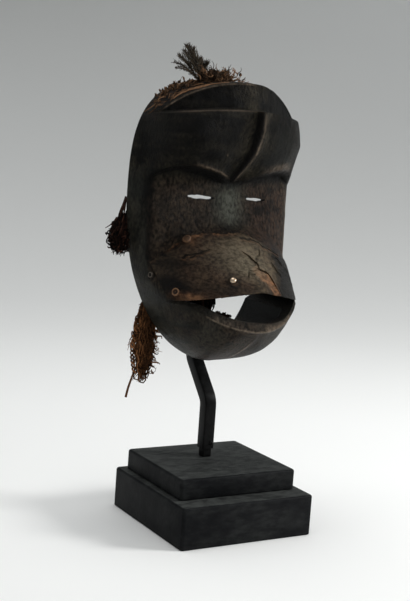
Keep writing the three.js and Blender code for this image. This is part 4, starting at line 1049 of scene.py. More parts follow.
def hide_sheet(across=300, down=130):
    """The sheet's points, its faces with the tear left out, and the masks for its material."""
    s = np.linspace(-1, 1, across + 1)[None, :]
    t = np.linspace(0, 1, down + 1)[:, None]
    high = front_half_width(hide_top_z(np.array(FACE_HALF_WIDTH)))
    half = mix(high, front_half_width(np.array(202.0)), t) - 0.6
    x = s * half
    frayed = 1.2 * np.sin(9 * s) * (1 - s**2) + 0.8 * smooth_noise(60 * s, 0 * s, 3.2, 1, 24)
    frayed = frayed + 0.5 * smooth_noise(60 * s, 0 * s, 1.1, 1, 25)
    top = hide_top_z(s * (FACE_HALF_WIDTH - 0.6)) + frayed
    z = top + (upper_lip_z(x) + 0.5 - top) * t
    away, side, along = distance_to(TEAR, x, z)
    split = cracks(x, z)
    lift = HIDE_LIFT + 0.5 * creases(x, z) + 1.0 * np.exp(-((away / 2.2) ** 2))
    lift = lift + 0.9 * cracks(x, z + 1.6) - 1.3 * split
    lift = lift - 0.7 * np.exp(-((z - top) / 2.0) ** 2)
    y = front_y(x, z) - GAP - lift
    width = 0.85 * np.clip(np.sin(np.pi * np.clip(along, 0.03, 0.97)) * 1.6, 0.2, 1)
    width = width * (1 + 0.45 * smooth_noise(x, z, 2.5, 2.5, 26))
    open_here = away < width
    quads = grid_quads(down + 1, across + 1)
    keep = ~open_here.ravel()[quads].any(1)
    strip = 2.0 + 8.5 * between(along, 0.42, 1.3, 0.2) * np.clip(1.25 - 0.6 * along, 0, 1)
    torn = np.clip((strip - away) / 1.6, 0, 1) * (side < 0) * (along > 0.44)
    torn = torn + 0.7 * np.exp(-((away / 1.4) ** 2))
    frays = np.clip(0.3 + smooth_noise(x, 0 * x, 4, 1, 28), 0, 1)
    rim_light = 0.25 + 0.75 * between(x, -62, -4, 10)
    torn = torn + 1.1 * np.exp(-((z - top + 0.8) / 1.1) ** 2) * rim_light * frays
    torn = torn + 1.1 * bump_at(x, -52, 8) * bump_at(z, 206, 3.4)
    torn = torn + 0.6 * bump_at(x, NAIL_TOP[0], 5) * bump_at(z, NAIL_TOP[1], 4)
    torn = torn + 0.4 * cracks(x + 0.4, z + 1.2, CRACKS[1:5]) * (split < 0.5)
    # Darker in the cracks, round the tear and the nails, near the lip and at both sides; the darkening of the
    # right side is painted shade.
    dark = 1.4 * split + 1.2 * np.clip(1.3 - away / 1.2, 0, 1) + 0.35 * bump_at(z, 212, 4)
    dark = dark + 0.6 * between(x, -80, -44, 14) + 1.2 * between(x, 22, 80, 14)
    dark = dark + 0.5 * np.clip(smooth_noise(x, z, 12, 8, 29), 0, 1)
    for spot, reach, strength in ((NAIL_MUZZLE, (4.2, 1.3), 0.7), (NAIL_TOP, (5, 1.4), 0.6)):
        dark = dark + strength * bump_at(np.hypot(x - spot[0], z - spot[1]), *reach)
    masks = {
        "wear_and_highlight": torn * (0.65 + 0.35 * smooth_noise(x, z, 2.5, 2.0, 27)),
        "dark": dark,
        "dust_and_light": 0.75 * bump_at(x, -4, 23) * between(z, 220, 258, 12),
        "brown": 0.85 * between(x, -75, 0, 25) + 0.5 * np.clip(smooth_noise(x, z, 10, 7, 31), 0, 1),
    }
    return np.stack([x, y, z], 2).reshape(-1, 3), quads[keep], masks


hide_points, hide_quads, hide_masks = hide_sheet()
hide = mesh_piece("muzzle_skin", hide_points, hide_quads)
for name, values in hide_masks.items():
    paint(hide, name, values.ravel())
thicken = hide.modifiers.new("sheet", "SOLIDIFY")
thicken.thickness = HIDE_SHEET * MM
thicken.offset = -1
apply_modifiers(hide, 50)
hide_leather = finish(
    "old_hide", (30, 25, 18), (98, 84, 66), size=0.016, stretch=(1, 1, 1.4), rough=0.45,
    relief=0.0007, warm=((30, 20, 14), (72, 54, 42)), wear_and_highlight=(136, 96, 67),
    dust_and_light=(120, 110, 92), bump=0.9, specular=0.09,
)
dress(hide, "muzzle_hide", hide_leather)

# %% [markdown]
# ## Nails
# Four nails are left: a tarnished dome, a polished dome that catches the light, and two ringed
# heads with a sunk middle, one of brass and one of iron. Each is a profile turned round the nail's
# axis, which stands square on the surface under it.

# %% Turned heads
def nail(name, node, spot, profile, metal):
    """Turns a profile of (radius, height) pairs round the surface's normal at a spot (x, z)."""
    x, z = spot
    step, sides = 1.5, 36
    depth = lambda a, b: float(front_y(np.array(a), np.array(b)))
    slope_x = (depth(x + step, z) - depth(x - step, z)) / (2 * step)
    slope_z = (depth(x, z + step) - depth(x, z - step)) / (2 * step)
    normal = unit(np.array([slope_x, -1, slope_z]))
    foot = np.array([x, depth(x, z), z]) + normal * (HIDE_SOLID * abs(normal[1]) + 2.5 * GAP)
    u = unit(np.cross(normal, [0, 0, 1.0]))
    v = np.cross(normal, u)
    profile = np.array(profile, float)
    angle = np.arange(sides) * 2 * np.pi / sides
    dent = 1 + 0.03 * np.sin(3 * angle + x)
    ring = (np.cos(angle) * dent)[:, None] * u + (np.sin(angle) * dent)[:, None] * v
    piece = close_tube(name, foot + profile[:, 0, None, None] * ring + profile[:, 1, None, None] * normal)
    from_axis = np.linalg.norm(np.cross(points_of(piece) - foot, normal), axis=1) / profile[:, 0].max()
    sunk = profile[-1, 1] < profile[:, 1].max() - 0.2
    paint(piece, "dark", (1.0 if sunk else 0.0) * bump_at(from_axis, 0.42, 0.2))
    paint(piece, "wear_and_highlight", (0.9 if sunk else 0.25) * bump_at(from_axis, 0.85, 0.12))
    dress(piece, node, metal)


def dome(radius, rise, foot=-1.2):
    """A low dome: radius times the cosine, height times the sine of an angle from 0 to 84 degrees."""
    a = np.radians(np.linspace(0, 84, 9))
    skirt = [(radius * 0.9, foot), (radius * 0.98, 0.0)]
    return skirt + list(zip(radius * np.cos(a), 0.3 + rise * np.sin(a)))


def ringed(radius, rise, foot=-1.2):
    """A raised ring round a sunk middle with a small knob, in shares of the radius and the rise."""
    shares = [
        (1, 0), (1, 0.6), (0.9, 1), (0.75, 1), (0.6, 0.45), (0.35, 0.35), (0.2, 0.6), (0.05, 0.62),
    ]
    return [(radius * 0.9, foot)] + [(radius * out, rise * up) for out, up in shares]


tarnished = finish(
    "tarnished_brass", (44, 30, 20), (98, 70, 48), size=0.003, rough=0.5, metallic=0.3,
    warm=((40, 24, 16), (96, 62, 40)), dust_and_light=(60, 46, 34),
    wear_and_highlight=(168, 126, 92), specular=0.3,
)
polished = finish(
    "polished_brass", (168, 140, 112), (232, 214, 190), size=0.005, rough=0.22,
    metallic=0.9, relief=0.0001, dusting=0.25, dust_and_light=(110, 84, 62),
)
rusted = finish(
    "rusted_iron", (20, 17, 15), (60, 52, 46), size=0.003, rough=0.6, metallic=0.2,
    warm=((30, 20, 14), (72, 54, 42)), dust_and_light=(80, 66, 54),
    wear_and_highlight=(126, 116, 104), specular=0.3,
)
nail("domed_nail_top", "nail_top", NAIL_TOP, dome(radius=3.8, rise=2.0), tarnished)
nail("domed_nail_muzzle", "nail_muzzle", NAIL_MUZZLE, dome(radius=2.8, rise=1.9), polished)
nail("ringed_nail_lip", "nail_lip", NAIL_LIP, ringed(radius=3.4, rise=1.7), tarnished)
nail("flat_nail_side", "nail_side", NAIL_SIDE, ringed(radius=2.4, rise=1.3), rusted)

# %% [markdown]
# ## Feathers on the crown
# A tuft of dark feathers fans out to the left from a bound root. A feather is a shaft with barbs on
# both sides that lean towards the tip. Cards with a picture of a feather would be quick, but they
# have no thickness, so every barb is a thin tapering strand, and all are skinned in one go.

# %% Shafts and barbs
def feather_tuft():
    """Each shaft is a bent line from the root to its tip. Barbs start along the shaft, lean 11 to
    37 degrees away from it, and shorten towards the tip."""
    rng = np.random.default_rng(7)
    root = np.array([-34.0, 13.0, 387.5])
    tips = np.array([
        [-60, 9, 394.5], [-58.8, 14, 399.5], [-56.5, 10, 404.5], [-54, 15, 406], [-51.5, 12, 409.5],
        [-49, 11, 413.5], [-46.5, 14, 414.5], [-44, 10, 411.5], [-41, 13, 409], [-36.5, 10, 404.5],
        [-32, 15, 403.5], [-28, 11, 401.5], [-30, 13, 399],
    ], float)
    starts = root + rng.normal(scale=[1.6, 2, 0.8], size=(len(tips), 3))
    starts[-4:, 0] += [2, 4, 5, 5]
    fullness = np.array([0.3, 0.5, 0.6, 0.7, 0.85, 1, 1, 1, 0.9, 0.9, 1, 1, 0.9])
    stations, per_side, arch = 5, 30, 3.0
    t = np.linspace(0, 1, 14)
    shafts = starts[:, None] + (tips - starts)[:, None] * t[None, :, None]
    shafts[..., 2] += arch * np.sin(np.pi * t)
    barbs, widths = [], []
    for shaft, tip, full in zip(shafts, tips, fullness):
        length = np.linalg.norm(tip - shaft[0])
        along = np.linspace(0.22, 0.97, per_side) + rng.uniform(-0.02, 0.02, per_side)
        place_at = np.stack([np.interp(along, t, shaft[:, k]) for k in range(3)], 1)
        ahead = (tip - shaft[0]) / length
        for side in (-1, 1):
            sideways = np.array([-ahead[2], 0.0, ahead[0]]) * side
            lean = rng.uniform(0.2, 0.75, (per_side, 1))
            reach = full * (3.2 + 0.13 * length) * np.sin(np.pi * (0.25 + 0.6 * along))[:, None]
            ends = place_at + reach * (ahead + lean * sideways) + rng.normal(scale=0.7, size=(per_side, 3))
            barbs.append(strand_lines(place_at, ends, 0.5, stations, rng))
            widths.append(taper(0.29, stations, per_side, rng, tip=0.2))
    thick = strand_lines(starts, tips, 0.0, stations, rng)
    thick[..., 2] += arch * np.sin(np.pi * np.linspace(0, 1, stations))
    radii = [taper(0.65, stations, len(tips), rng, tip=0.25)] + widths
    return tubes("feather_fan", np.concatenate([thick] + barbs), np.concatenate(radii), sides=4)


plume = finish(
    "dry_feather", (12, 10, 8), (94, 82, 68), size=0.004, rough=0.6, relief=0.0001,
    dusting=0.15, dust_and_light=(90, 78, 64), tone=1.5, specular=0.1,
)
dress(feather_tuft(), "feather_tuft", plume)

# %% [markdown]
# ## Plant fibre on the crown
# Shredded bast is heaped behind the feathers and trails along the crown's band to the left. A hair
# system would need more settings than this small heap is worth, so the strands are drawn from a
# seeded scatter: most lie along the band, some curl up, and small knots sit between them.

# %% The heap and the trail
def crown_band(x, share):
    """A point of the band behind the crown's front edge: share 0 is the front arc, 1 the rim."""
    x = np.asarray(x, float)
    y = mix(crown_y(x, front_top(x)), rim_y(rim_top(x)), share)
    return np.stack([x, y, mix(front_top(x), rim_top(x), share)], -1)


def crest():
    """Strands in five kinds: ones laid along the band, cords at its front edge, curled ones in the
    heap, wisps that stand out of it, and thick short ones that read as knots."""
    rng = np.random.default_rng(12)
    count, heap, knots, trail, cords, stations = 190, 300, 40, 90, 16, 7
    x = -12 - 54 * rng.random(count) ** 1.1
    share = np.clip(0.5 + 0.2 * rng.normal(size=count), 0.25, 0.95)
    starts = crown_band(x, share) + [0, 0, 1] * rng.uniform(0.2, 2.0, (count, 1)) * rng.random((count, 1))
    length = rng.uniform(4, 15, (count, 1))
    slope = np.gradient(front_top(np.array([x - 1, x + 1])), axis=0)[0] / 2
    sideways = 0.35 * rng.normal(size=count)
    heading = np.stack([np.ones(count), sideways, slope + 0.16 * rng.normal(size=count)], 1)
    heading = unit(heading * rng.choice([-1, 1], (count, 1)))
    laid = strand_lines(starts, starts + heading * length, 1.2, stations, rng)
    centre = np.array([-18.0, 12.0, 389.8])
    seeds = centre + rng.normal(size=(heap, 3)) * [8.5, 4.0, 2.6]
    seeds[:, 2] = np.maximum(seeds[:, 2], crown_band(seeds[:, 0], 0.4)[:, 2] + 0.4)
    upwards = unit(rng.normal(size=(heap, 3)) * [0.8, 0.5, 0.5] + [0, 0, 0.55])
    tips = seeds + upwards * rng.uniform(3, 10, (heap, 1))
    curled = strand_lines(seeds, tips, 1.4, stations, rng, curl=0.9, turns=1.3)
    wisps = np.array([
        [[10, 16, 388.5], [15, 12, 390]], [[14, 17, 388], [20, 13, 388.6]], [[6, 15, 389], [11, 12, 391]],
        [[-14, 12, 391], [-19, 10, 402]], [[-10, 12, 391], [-5, 10, 402.5]], [[-7, 12, 391], [-2, 10, 400]],
        [[-2, 12, 390], [5, 9, 395]], [[0, 12, 389], [9, 9, 392]], [[-8, 11, 392], [-8, 9, 401]],
    ], float)
    flying = strand_lines(wisps[:, 0], wisps[:, 1], 1.2, stations, rng)
    spots_x = rng.uniform(-64, -30, trail)
    on_trail = crown_band(spots_x, rng.uniform(0.5, 1.0, trail)) + [0, 0, 0.4]
    in_heap = centre + rng.normal(size=(knots, 3)) * [8, 3.5, 2.2] + [0, 0, 1.5]
    spots = np.concatenate([in_heap, on_trail])
    short = rng.normal(size=(knots + trail, 3)) * 1.5 + [0, 0, 1.5]
    lumps = strand_lines(spots, spots + short, 0.3, stations, rng)
    size = np.concatenate([rng.uniform(0.6, 1.2, knots), rng.uniform(0.2, 0.75, trail)])
    swelling = 1.7 * np.sin(np.linspace(0.3, 2.9, stations))[None, :] * size[:, None]
    from_x = rng.uniform(-66, -45, cords)
    run = np.linspace(0, 1, stations)
    along = from_x[:, None] + rng.uniform(14, 34, (cords, 1)) * run
    edge_cords = crown_band(along, rng.uniform(0.08, 0.4, (cords, 1)) + 0.06 * np.sin(6 * run)) + [0, 0, 0.4]
    lines = np.concatenate([laid, edge_cords, curled, flying, lumps])
    kinds = ((0.42, count), (0.45, cords), (0.42, heap), (0.4, len(wisps)))
    radii = [taper(radius, stations, strands, rng) for radius, strands in kinds]
    heart = np.concatenate([curled[:, 0, 0], flying[:, 0, 0]])
    shade = np.concatenate([
        rng.uniform(0.4, 1.3, count), np.full(cords, 1.6), 1.35 - 1.15 * bump_at(heart, -22, 6),
        np.full(knots, 0.3), np.full(trail, 0.9),
    ])
    return tubes("crown_fibre", lines, np.concatenate([*radii, swelling]), sides=5, shade=shade)


bast = finish(
    "dry_bast", (14, 9, 6), (176, 132, 98), size=0.005, rough=0.85, relief=0.0002,
    dusting=0.25, dust_and_light=(110, 92, 74), tone=2.1, specular=0.1,
)
dress(crest(), "crest_fibre", bast)

# %% [markdown]
# ## The tuft, the tassel and the fibre in the mouth
# Two bundles hang from small holes in the rim and one behind the upper lip. Each is a matted body
# with strands standing out of it: every strand runs down a stretch of its own, inside an outline
# that is widest in the middle or a little above it. The tassel also has curls, prongs at its right,
# a twisted cord, loops at its foot and one thin tail.

# %% A hanging bundle
def hanging(knot, foot, half_width, half_depth, count, seed, radius=0.55, ragged=7.0, out=1.0, high=1.0):
    """Strands of a bundle on the way from a knot to a foot. They swing out by up to half the width
    at the middle, or above it where high is below 1, and flick out and end raggedly."""
    rng = np.random.default_rng(seed)
    stations = 9
    t = np.linspace(0, 1, stations)
    place_in = rng.uniform(-1, 1, (count, 2))
    begin = rng.random(count) ** 1.5 * 0.75
    finish_at = np.clip(begin + rng.uniform(0.2, 0.6, count), 0, 1.05)
    own = begin[:, None] + (finish_at - begin)[:, None] * t[None, :]
    axis = np.asarray(knot) + (np.asarray(foot) - np.asarray(knot)) * own[..., None]
    bulge = np.sin(np.clip(own * 0.93 + 0.05, 0, 1) ** high * np.pi) ** 0.7
    axis[..., 0] += place_in[:, :1] * half_width * bulge
    axis[..., 1] += place_in[:, 1:] * half_depth * bulge
    sway = rng.normal(size=(count, 1, 3)) * [1.0, 0.8, 0.5]
    axis = axis + sway * np.sin(np.pi * t)[None, :, None] * 1.3
    flick = rng.normal(size=(count, 1, 3)) * [1.0, 0.6, 0.4] * out
    axis = axis + flick * (t**3)[None, :, None] * 2.6
    axis[:, :, 2] += rng.normal(size=(count, 1)) * ragged * 0.2
    return axis, taper(radius, stations, count, rng)


def ear_tuft():
    """A thin looped strand above a dense black bulk."""
    rng = np.random.default_rng(5)
    count, stations = 300, 9
    bulk, radii = hanging(
        knot=[-81, 44.5, 268], foot=[-84.5, 44.5, 236], half_width=9.0, half_depth=5.0, count=240,
        seed=31, radius=0.75, high=0.85,
    )
    down = rng.random((count, 1))
    seeds = np.array([-83.0, 45.0, 260.0]) + down * [-1.5, 0, -22.0]
    seeds = seeds + rng.uniform(-1, 1, (count, 3)) * [8.0, 4.0, 2.0] * (0.75 + 0.4 * np.sin(np.pi * down))
    heading = unit(rng.normal(size=(count, 3)) * [1, 0.7, 0.8] + [-0.4, 0, -0.2])
    ends = seeds + heading * rng.uniform(1.5, 4.5, (count, 1))
    tangle = strand_lines(seeds, ends, 1.5, stations, rng, curl=1.2)
    top = np.array([[-80.5, 44, 283], [-81, 44, 282], [-80.6, 45, 284], [-80.4, 44, 283]], float)
    low = np.array([[-86.5, 44.5, 262], [-85.5, 44, 261], [-87, 45, 263], [-83, 44, 262]], float)
    loop = strand_lines(top, low, 0.7, stations, rng)
    lines = np.concatenate([bulk, tangle, loop])
    thick = [radii, taper(0.75, stations, count, rng), taper(0.9, stations, len(top), rng, tip=0.8)]
    return tubes("ear_tuft", lines, np.concatenate(thick), sides=4)


def tassel():
    """A brown ragged tassel: body strands, prongs at the right, a twisted cord at the left, loops
    at the foot, and the tail."""
    rng = np.random.default_rng(9)
    curl_count, cord_stretches, stations = 150, 8, 9
    t = np.linspace(0, 1, stations)
    body, radii = hanging(
        knot=[-57, 41, 186], foot=[-56, 41, 125], half_width=9.6, half_depth=4.5, count=250,
        seed=41, radius=0.62, out=1.6, high=0.78,
    )
    body[..., 0] += 1.1 * np.sin(0.55 * body[..., 2] + 2 * body[..., 1])
    seeds = np.array([-54.5, 41, 170]) + rng.random((curl_count, 1)) * [0.5, 0, -42.0]
    seeds = seeds + rng.uniform(-1, 1, (curl_count, 3)) * [7.0, 3.5, 2.0]
    heading = rng.normal(size=(curl_count, 3)) * [1, 0.5, 0.7] + [0.3, 0, -0.5]
    curls = strand_lines(seeds, seeds + heading * 3.4, 1.6, stations, rng, curl=2.6, turns=1.2)
    neck, neck_radii = hanging(
        knot=[-58, 39, 196], foot=[-57, 41, 168], half_width=4.2, half_depth=3.0, count=90,
        seed=42, radius=0.7,
    )
    prong_runs = np.array([
        [[-51, 41, 175], [-42, 40, 170]], [[-49, 41, 163], [-37, 42, 157]], [[-50, 41, 169], [-40, 40, 163]],
        [[-50, 41, 149], [-42, 41, 145]], [[-51, 41, 139], [-39, 41, 134]],
    ], float)
    prongs = strand_lines(prong_runs[:, 0], prong_runs[:, 1], 0.9, stations, rng, curl=1.1, turns=0.8)
    loops, cords = [], []
    for x, z, size in ((-61, 126, 4.2), (-56, 124, 5.0), (-51.5, 127, 3.6), (-58, 123, 3.2), (-54, 129, 3.8)):
        angle = 2 * np.pi * t * 1.05 + 0.4
        across = x + size * 0.7 * np.sin(angle)
        loops.append(np.stack([across, 41 + 1.6 * np.cos(angle + x), z + size * np.cos(angle)], 1))
    for stretch in range(cord_stretches):
        for phase in (0, np.pi):
            angle = 2 * np.pi * (t + stretch) * 0.75 + phase
            down = (stretch + t) / cord_stretches
            across = -64.5 - 3.6 * np.sin(np.pi * down) + 1.5 * np.cos(angle)
            cords.append(np.stack([across, 39.5 + 1.2 * np.sin(angle), 172 - 44 * down], 1))
    tail = strand_lines(np.array([[-63.0, 41, 134]]), np.array([[-71.0, 41, 106.5]]), 0.8, stations, rng)
    lines = np.concatenate([body, curls, neck, prongs, loops, cords, tail])
    thick = np.concatenate([
        radii, taper(0.6, stations, curl_count, rng), neck_radii,
        taper(0.9, stations, len(prongs), rng, tip=0.5), np.full((len(loops), stations), 0.62),
        np.full((len(cords), stations), 0.75), np.linspace(1.0, 1.2, stations)[None, :],
    ])
    shade = 1.3 - 1.0 * bump_at(lines[:, :, 0].mean(1), -53, 5)
    shade[-len(cords) - 1:] = 1.5
    shade[len(body) + len(curls):][:len(neck)] = 0.5
    return tubes("brown_tassel", lines, thick, sides=4, shade=shade)


def mouth_fibre():
    """Black fibre behind the upper lip at the left, with lumps on the lower lip."""
    rng = np.random.default_rng(15)
    count, stations = 90, 9
    curtain, radii = hanging(
        knot=[-23, 12, 219], foot=[-18, 9, 182], half_width=11.5, half_depth=6.0, count=620,
        seed=51, radius=0.95, out=0.9,
    )
    spots = np.array([-11.0, -8.0, 184.6]) + rng.normal(size=(count, 3)) * [5.6, 4.0, 1.9]
    ends = spots + rng.normal(size=(count, 3)) * 2.4
    lumps = strand_lines(spots, ends, 0.8, stations, rng, curl=0.8)
    thick = np.concatenate([radii, taper(1.2, stations, count, rng)])
    return tubes("mouth_hair", np.concatenate([curtain, lumps]), thick, sides=4)


black_fibre = finish(
    "black_fibre", (7, 6, 6), (92, 62, 50), size=0.005, rough=0.85, relief=0.0002,
    dusting=0.05, dust_and_light=(48, 42, 36), tone=3.2, specular=0.05,
)
brown_fibre = finish(
    "brown_fibre", (16, 8, 5), (168, 114, 74), size=0.005, rough=0.85, relief=0.0002,
    dusting=0.1, dust_and_light=(112, 84, 58), tone=1.8, specular=0.08,
)
dress(ear_tuft(), "ear_fibre", black_fibre)
dress(tassel(), "tassel", brown_fibre)
dress(mouth_fibre(), "mouth_fibre", black_fibre)

# %% [markdown]
# ## The bar, the post and the plinth
# The stand is plain: a bent square bar, a thinner square post that joins it to the plinth, and two
# black painted blocks. What makes them real is the edge, because no bar or board has a sharp one,
# so each section is a square with rounded corners, carried along its path or up its height.

# %% Rounded sections
ROD_SIDE, ROD_Y, ROD_BEND_START, ROD_BEND_END, ROD_BEND_RADIUS = 11.4, 16.6, 106.0, 141.0, 14.0
POST_SIDE, POST_SHOW, CRADLE_SIDE, CRADLE_Z, FINGER_TIP_Y = 8.4, 8.0, 7.0, 239.0, -12.0
PLINTH_TOP = 54.3


def rounded_square(width, depth, corner, per_corner=5):
    """The outline of a rectangle whose corners are quarter circles, once round, as (x, y)."""
    outline = []
    for k, (sx, sy) in enumerate(((1, 1), (-1, 1), (-1, -1), (1, -1))):
        angle = np.radians(90 * k + np.linspace(0, 90, per_corner))
        centre = np.array([sx * (width / 2 - corner), sy * (depth / 2 - corner)])
        outline.append(centre + corner * np.stack([np.cos(angle), np.sin(angle)], 1))
    return np.concatenate(outline)


def bent_route(corners, radius, steps=9):
    """A line of straight stretches whose corners are quadratic curves, in (y, z)."""
    route = [corners[0]]
    for k in range(1, len(corners) - 1):
        toward, away = corners[k - 1] - corners[k], corners[k + 1] - corners[k]
        toward, away = toward / np.linalg.norm(toward), away / np.linalg.norm(away)
        half = np.arccos(np.clip(toward @ away, -1, 1)) / 2
        reach = radius / np.tan(half)
        start, stop = corners[k] + toward * reach, corners[k] + away * reach
        for t in np.linspace(0, 1, steps + 1):
            a, b = mix(start, corners[k], t), mix(corners[k], stop, t)
            route.append(mix(a, b, t))
    route.append(corners[-1])
    return np.array(route)


def swept_bar(name, route, side, corner):
    """A rounded square carried along a route in the YZ plane, with its far end softened."""
    run = unit(np.gradient(route, axis=0))
    outline = rounded_square(side, side, corner)
    rings = []
    for here, ahead in zip(route, run):
        across = outline[:, 1:] * np.array([-ahead[1], ahead[0]])
        rings.append(np.column_stack([outline[:, 0], here + across]))
    last = rings.pop()
    tip = last.mean(0)
    rings += [last - np.array([0, *run[-1]]) * 0.5, tip + (last - tip) * 0.9]
    return close_tube(name, rings)


riser_y = RIM_Y + GAP + ROD_SIDE / 2
finger_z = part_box("mount_rod")[1].z / MM - ROD_SIDE / 2
bar_corners = np.array([
    [ROD_Y, PLINTH_TOP + POST_SHOW], [ROD_Y, ROD_BEND_START], [riser_y, ROD_BEND_END],
    [riser_y, finger_z], [FINGER_TIP_Y, finger_z],
])
print("the bar's finger lies at Z", round(finger_z, 1))


# %% The bar with its cradle, and the post
def join_pieces(name, pieces):
    """Several meshes in one object, by writing their points and faces one after another."""
    points, faces, start = [], [], 0
    for piece in pieces:
        points.append(points_of(piece))
        faces += [[v + start for v in face.vertices] for face in piece.data.polygons]
        start += len(piece.data.vertices)
        bpy.data.objects.remove(piece)
    return new_piece(name, np.concatenate(points), faces)


def block(name, width, depth, height, corner, edge, middle, seed):
    """Rings of one rounded outline up the height: drawn in at the foot and the top by a quarter circle, with
    small dents along the edges. The top is painted lighter, as dust and as painted light from above."""
    angle = np.radians(np.linspace(0, 90, 5))
    lift = np.concatenate([edge * 0.5 * (1 - np.cos(angle)), height - edge + edge * np.sin(angle)])
    inset = np.concatenate([edge * 0.5 * (1 - np.sin(angle)), edge * (1 - np.cos(angle))])
    rings = []
    for z, drawn in zip(lift, inset):
        outline = rounded_square(width - 2 * drawn, depth - 2 * drawn, max(0.2, corner - 0.5 * drawn))
        dents = 0.12 * smooth_noise(outline[:, 0], outline[:, 1] + z, 9, 9, seed)
        outline = outline * (1 + dents[:, None] / width)
        rings.append(np.column_stack([outline, np.full(len(outline), z)]) + middle)
    inner = rings[-1].mean(0)
    rings += [inner + (rings[-1] - inner) * share for share in (0.97, 0.8, 0.4)]
    made = close_tube(name, rings)
    # Painted light with dust: the top face is lightened, as where the light from above falls on it.
    paint(made, "dust_and_light", 0.8 * (points_of(made)[:, 2] > middle[2] + height - 0.1))
    return made


bar = swept_bar("bar_sweep", bent_route(bar_corners, ROD_BEND_RADIUS), ROD_SIDE, 1.3)
cross_reach = float(rim_half_width(np.array(CRADLE_Z))) - 2
cross_y = float(rim_y(np.array(CRADLE_Z))) + 2 * GAP + CRADLE_SIDE / 2
outline = rounded_square(CRADLE_SIDE, CRADLE_SIDE, 1.0)
cross_rings = [
    np.column_stack([np.full(len(outline), x), outline * shrink + [cross_y, CRADLE_Z]])
    for x, shrink in (
        (-cross_reach, 0.88), (-cross_reach + 0.5, 1), (cross_reach - 0.5, 1), (cross_reach, 0.88),
    )
]
turn = np.linspace(0, 2 * np.pi, 25)[:-1]
screw_x, screw_y, screw_z = 2.2, ROD_Y - ROD_SIDE / 2, PLINTH_TOP + POST_SHOW + 5
screw_rings = [
    np.column_stack([screw_x + r * np.cos(turn), np.full(24, screw_y + y), screw_z + r * np.sin(turn)])
    for r, y in ((2.1, 0.3), (2.1, -0.7), (1.6, -1.1), (0.9, -1.1), (0.8, -0.5))
]
bar = join_pieces("bent_bar", [bar, close_tube("cross_bar", cross_rings), close_tube("screw", screw_rings)])
bar.data.set_sharp_from_angle(angle=np.radians(60))

satin_black = finish(
    "satin_black_steel", (7, 7, 7), (18, 18, 18), size=0.02, rough=0.35, relief=0.00008,
    dusting=0.1, dust_and_light=(60, 60, 60), bump=0.4, specular=0.07,
)
dress(bar, "mount_rod", satin_black)
post_height = POST_SHOW - 2 * GAP
post = block(
    "square_post", POST_SIDE, POST_SIDE, post_height, corner=0.8, edge=0.3,
    middle=[0, ROD_Y, PLINTH_TOP + GAP], seed=61,
)
dress(post, "base_post", satin_black)

# %% The plinth's two blocks
PLINTH_SIDE, PLINTH_LOWER_HEIGHT = 130.0, 36.0
PLINTH_UPPER_WIDTH, PLINTH_UPPER_DEPTH = 115.0, 103.0
PLINTH_UPPER_HEIGHT, PLINTH_UPPER_BACK = 18.0, 6.0
black_paint = finish(
    "black_painted_wood", (13, 14, 16), (24, 25, 26), size=0.03, stretch=(0.7, 1.6, 1.6), rough=0.5,
    relief=0.0002, dusting=0.17, dust_and_light=(68, 70, 68), specular=0.06,
)
upper = block(
    "upper_block", PLINTH_UPPER_WIDTH, PLINTH_UPPER_DEPTH, PLINTH_UPPER_HEIGHT, corner=3.0,
    edge=2.0, middle=[0, PLINTH_UPPER_BACK, PLINTH_LOWER_HEIGHT + GAP], seed=62,
)
lower = block(
    "lower_block", PLINTH_SIDE, PLINTH_SIDE, PLINTH_LOWER_HEIGHT, corner=3.0, edge=2.0,
    middle=[0, 0, 0], seed=63,
)
dress(upper, "plinth_upper", black_paint)
dress(lower, "plinth_lower", black_paint)

# %% [markdown]
# ## Floor, backdrop and light
# The photograph has a pale seamless sweep, lit softly from the right and above, that goes grey
# towards the top, more so on the left. A round bowl of one profile turned about Z looks seamless
# from every side; its colour follows the distance from the plinth, shifted sideways with height.

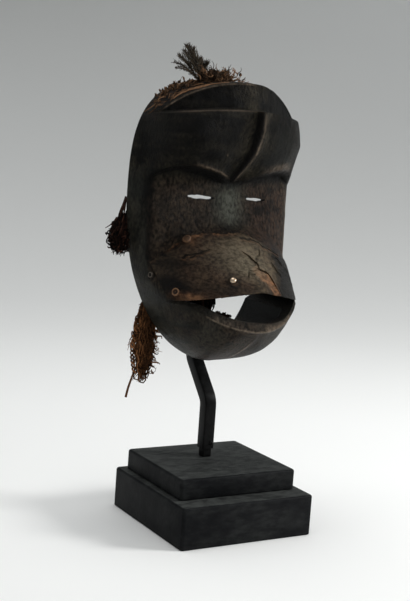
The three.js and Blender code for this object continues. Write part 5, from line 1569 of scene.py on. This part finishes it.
# %% The sweep
def sweep(radius=1.1, bend=2.4, height=2.5, sides=72, drop=0.05):
    """A flat floor, a quarter circle and an upright wall, as one profile turned about Z, a hair
    below the plinth."""
    angle = np.radians(np.linspace(0, 90, 17))
    flat = np.array([0.05, 0.3, 0.6, 0.85, radius]) / MM
    r = np.concatenate([flat, (radius + bend * np.sin(angle[1:])) / MM, [(radius + bend) / MM]])
    z = np.concatenate([0 * flat, bend * (1 - np.cos(angle[1:])) / MM, [height / MM]])
    turn = np.linspace(0, 2 * np.pi, sides + 1)[:-1]
    up = np.broadcast_to(z[:, None], (len(r), sides)) - drop
    rings = np.stack([r[:, None] * np.cos(turn), r[:, None] * np.sin(turn), up], 2)
    quads, fans = tube_faces(len(r), sides)
    points = np.concatenate([rings.reshape(-1, 3), [[0, 0, -drop]]])
    return mesh_piece("studio_sweep", points, quads[:, ::-1], fans[:sides, ::-1])


stage = sweep()
pale = bpy.data.materials.new("pale_sweep")
pale.use_nodes = True
tree = pale.node_tree
where = place(tree, "ShaderNodeTexCoord").outputs["Object"]
# Painted shade: the sweep greys with distance from the plinth and with height, more so on the left, in place
# of the light falling off.
far = place(tree, "ShaderNodeVectorMath", {0: where}, operation="LENGTH").outputs["Value"]
across = place(tree, "ShaderNodeVectorMath", {0: where, 1: tuple(level)}, operation="DOT_PRODUCT")
height = place(tree, "ShaderNodeSeparateXYZ", {0: where}).outputs["Z"]
leaning = sums(tree, "MULTIPLY", sums(tree, "MULTIPLY", height, height), 2.2)
tilt = sums(tree, "MULTIPLY", across.outputs["Value"], leaning)
fall = place(tree, "ShaderNodeMapRange", {
    "Value": sums(tree, "SUBTRACT", far, tilt), "From Min": 0.45, "From Max": 4.5,
})
ramp = place(tree, "ShaderNodeValToRGB", {"Fac": fall.outputs[0]})
ramp.color_ramp.elements[0].color = (0.92, 0.92, 0.9, 1)
ramp.color_ramp.elements[1].color = (0.57, 0.57, 0.55, 1)
feed(tree, tree.nodes["Principled BSDF"], {"Base Color": ramp.outputs[0], "Roughness": 0.9})
stage.data.materials.append(pale)


# %% Lamps
def lamp(name, place_at, aim, size, power):
    """A square soft lamp at place_at, turned to look at aim."""
    light = bpy.data.lights.new(name, "AREA")
    light.size, light.energy = size, power
    holder = bpy.data.objects.new(name, light)
    place_at = np.array(place_at)
    z_axis = unit(place_at - np.array(aim))
    x_axis = unit(np.cross([0, 0, 1.0], z_axis))
    holder.matrix_world = placed(x_axis, np.cross(z_axis, x_axis), z_axis, place_at)
    bpy.context.scene.collection.objects.link(holder)


lamp("key", place_at=[1.5, -0.85, 0.95], aim=[0, 0, 0.1], size=0.5, power=26)
lamp("top", place_at=[-0.1, 0.1, 1.9], aim=[0, 0, 0.2], size=1.2, power=17)
world = bpy.data.worlds.new("room")
bpy.context.scene.world = world
world.use_nodes = True
room = world.node_tree
feed(room, room.nodes["Background"], {"Color": (0.9, 0.95, 1.0, 1), "Strength": 0.33})
